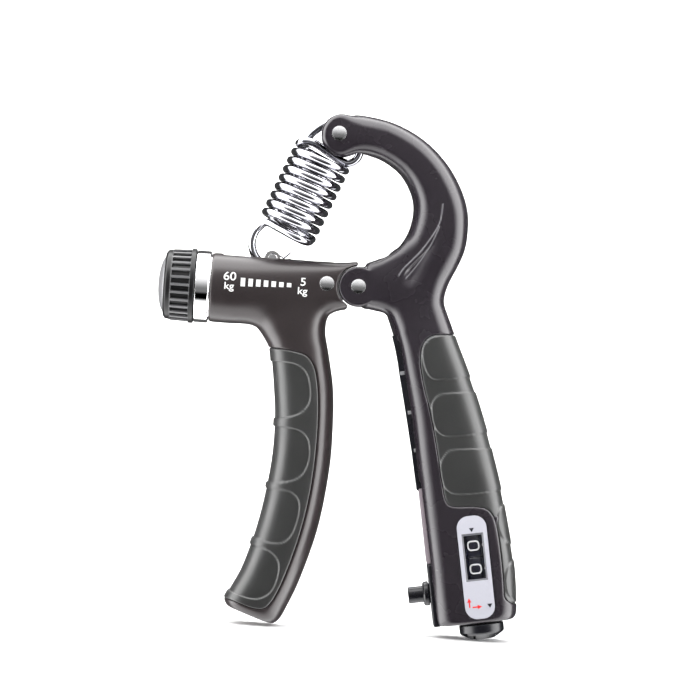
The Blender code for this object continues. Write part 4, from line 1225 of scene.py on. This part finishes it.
def stage():
    """A pale paper sweep under and behind the object, in metres."""
    half_width, back, front, rise, corner, drop = 3.0, 1.6, -3.0, 3.0, 0.6, 0.0002
    bend = np.linspace(0.1, 1.57, 10)
    line = [(front, 0.0), (back - corner, 0.0)]
    line += [(back - corner + corner * math.sin(a), corner - corner * math.cos(a)) for a in bend]
    line.append((back, rise))
    shape = bmesh.new()
    rows = [[shape.verts.new((side * half_width, y, z - drop)) for side in (-1, 1)] for y, z in line]
    for one, two in zip(rows, rows[1:]):
        shape.faces.new((one[0], one[1], two[1], two[0]))
    floor = bpy.data.meshes.new("floor")
    shape.to_mesh(floor)
    shape.free()
    made, tree, shader = new_material("paper_sweep")
    paper = noise(tree, 60.0, 5.0)
    fill(tree, shader, {
        "Base Color": mixed(tree, paper, (0.93, 0.93, 0.93, 1.0), (0.95, 0.95, 0.95, 1.0)),
        "Normal": bumped(tree, paper, 0.0001, 0.1),
        "Roughness": 0.95,
        "Specular IOR Level": 0.1,
    })
    floor.materials.append(made)
    sweep = new_thing("sweep", floor)
    sweep.data.shade_smooth()
    sweep.visible_glossy = False


def soft_box(name, place_m, aim, width, height, power):
    lamp = bpy.data.lights.new(name, "AREA")
    lamp.shape = "RECTANGLE"
    lamp.size = width
    lamp.size_y = height
    lamp.energy = power
    lamp.spread = math.pi
    made = bpy.data.objects.new(name, lamp)
    made.location = place_m
    made.rotation_euler = (Vector(aim) - Vector(place_m)).to_track_quat("-Z", "Y").to_euler()
    made.visible_glossy = False
    bpy.context.scene.collection.objects.link(made)


def joined(tree, operation, first, *others):
    """One sum or product of several sockets and numbers."""
    for other in others:
        node = tree.nodes.new("ShaderNodeMath")
        node.operation = operation
        fill(tree, node, {0: first, 1: other})
        first = node.outputs["Value"]
    return first


def studio_world():
    """What shiny surfaces see: soft white in front, bright panels round it, a dark gap below, dark behind.

    Each eased value runs from its first level to its second while a direction's part goes from start to end.
    """
    world = bpy.data.worlds.new("studio")
    world.use_nodes = True
    tree = world.node_tree

    def eased(value, *levels_and_ends):
        return ranged(tree, value, *levels_and_ends, "SMOOTHSTEP")

    where = tree.nodes.new("ShaderNodeTexCoord").outputs["Generated"]
    x, y, z = fill(tree, tree.nodes.new("ShaderNodeSeparateXYZ"), {"Vector": where}).outputs
    further = joined(tree, "SUBTRACT", y, joined(tree, "MULTIPLY", z, z, PANEL_TENT))
    panel_starts = eased(y, 0.0, 1.0, -0.78, -0.42)
    panel_ends = eased(further, 1.0, 0.0, 0.0, 0.36)
    sideways = joined(tree, "MULTIPLY", x, x, PANEL_SIDES - PANEL_TOP)
    strength = joined(tree, "ADD", sideways, PANEL_TOP)
    low_part = eased(z, PANEL_LOW_SHARE, 1.0, -0.8, -0.3)
    panel = joined(tree, "MULTIPLY", panel_starts, panel_ends, strength, low_part)
    above_gap = eased(z, 0.0, 1.0, -0.42, -0.26)
    below_gap = eased(z, 1.0, 0.0, -0.98, -0.93)
    outside_gap = joined(tree, "MAXIMUM", above_gap, below_gap)
    level = eased(y, FRONT_LEVEL, 0.0, -0.5, -0.2)
    upper = eased(z, FRONT_BOTTOM, FRONT_TOP, -0.15, 0.6)
    front = joined(tree, "MULTIPLY", level, upper, outside_gap)
    total = joined(tree, "ADD", front, panel, eased(y, 0.0, BEHIND_LEVEL, 0.1, 0.4))
    glossy = tree.nodes.new("ShaderNodeLightPath").outputs["Is Glossy Ray"]
    chosen = tree.nodes.new("ShaderNodeMix")
    fill(tree, chosen, {"Factor": glossy, "A": AMBIENT_LEVEL, "B": total})
    fill(tree, tree.nodes["Background"], {"Color": WHITE, "Strength": chosen.outputs["Result"]})
    bpy.context.scene.world = world


def lights():
    studio_world()
    low, high = CAD_BOX
    middle = (Vector(low) + Vector(high)) / 2
    soft_box("key", (-0.6, -0.9, 1.0), middle, 0.6, 0.6, 5.0)
    soft_box("backdrop_light", (0.0, 0.6, 1.5), (0.0, 1.6, 0.2), 1.6, 0.6, 30.0)
    soft_box("floor_light", (0.0, 0.3, 1.6), (0.0, 0.3, 0.0), 2.4, 1.6, 30.0)


def camera():
    width_seen = 0.2205
    distance = 1.3
    sensor = 36.0
    roll = math.radians(4.0)
    aim = PIVOT + Vector((-1.25, 0.0, -20.0)) * MM
    data = bpy.data.cameras.new("camera")
    data.sensor_width = sensor
    data.lens = sensor * distance / width_seen
    made = bpy.data.objects.new("camera", data)
    right = Vector((math.cos(roll), 0.0, math.sin(roll)))
    up = Vector((-math.sin(roll), 0.0, math.cos(roll)))
    back = Vector((0.0, -1.0, 0.0))
    turn = Matrix((right, up, back)).transposed().to_4x4()
    made.matrix_world = Matrix.Translation(aim + back * distance) @ turn
    bpy.context.scene.collection.objects.link(made)
    bpy.context.scene.camera = made
    bpy.context.scene.view_settings.view_transform = "Standard"


def build():
    dress_kept_nodes()
    left = left_body()
    left_grip()
    right_body()
    right_grip()
    rivet("hook_rivet", HOOK_PIN, HOOK_HALF_DEPTH + 0.15, "palm_handle", "hook_pin")
    rivet("pivot_pin", PIVOT_AT, BOSS_HALF_DEPTH + 0.15, "palm_handle", "pivot_rivet")
    rivet("tongue_rivet", FIXING_RIVET, 9.7, "finger_handle", "fixing_rivet")
    chrome_ring()
    adjuster_knob()
    knob_cap()
    tension_spring()
    barrel_scale(left)
    counter_label()
    window_bezel()
    digit_wheel("units_drum", WHEEL_PLACES[0], "units", "units_wheel")
    digit_wheel("tens_drum", WHEEL_PLACES[1], "tens", "tens_wheel")
    faceplate()
    button_collar()
    count_button()
    channel_cover()
    channel_liner()
    reset_knob()


stage()
lights()
camera()
build()
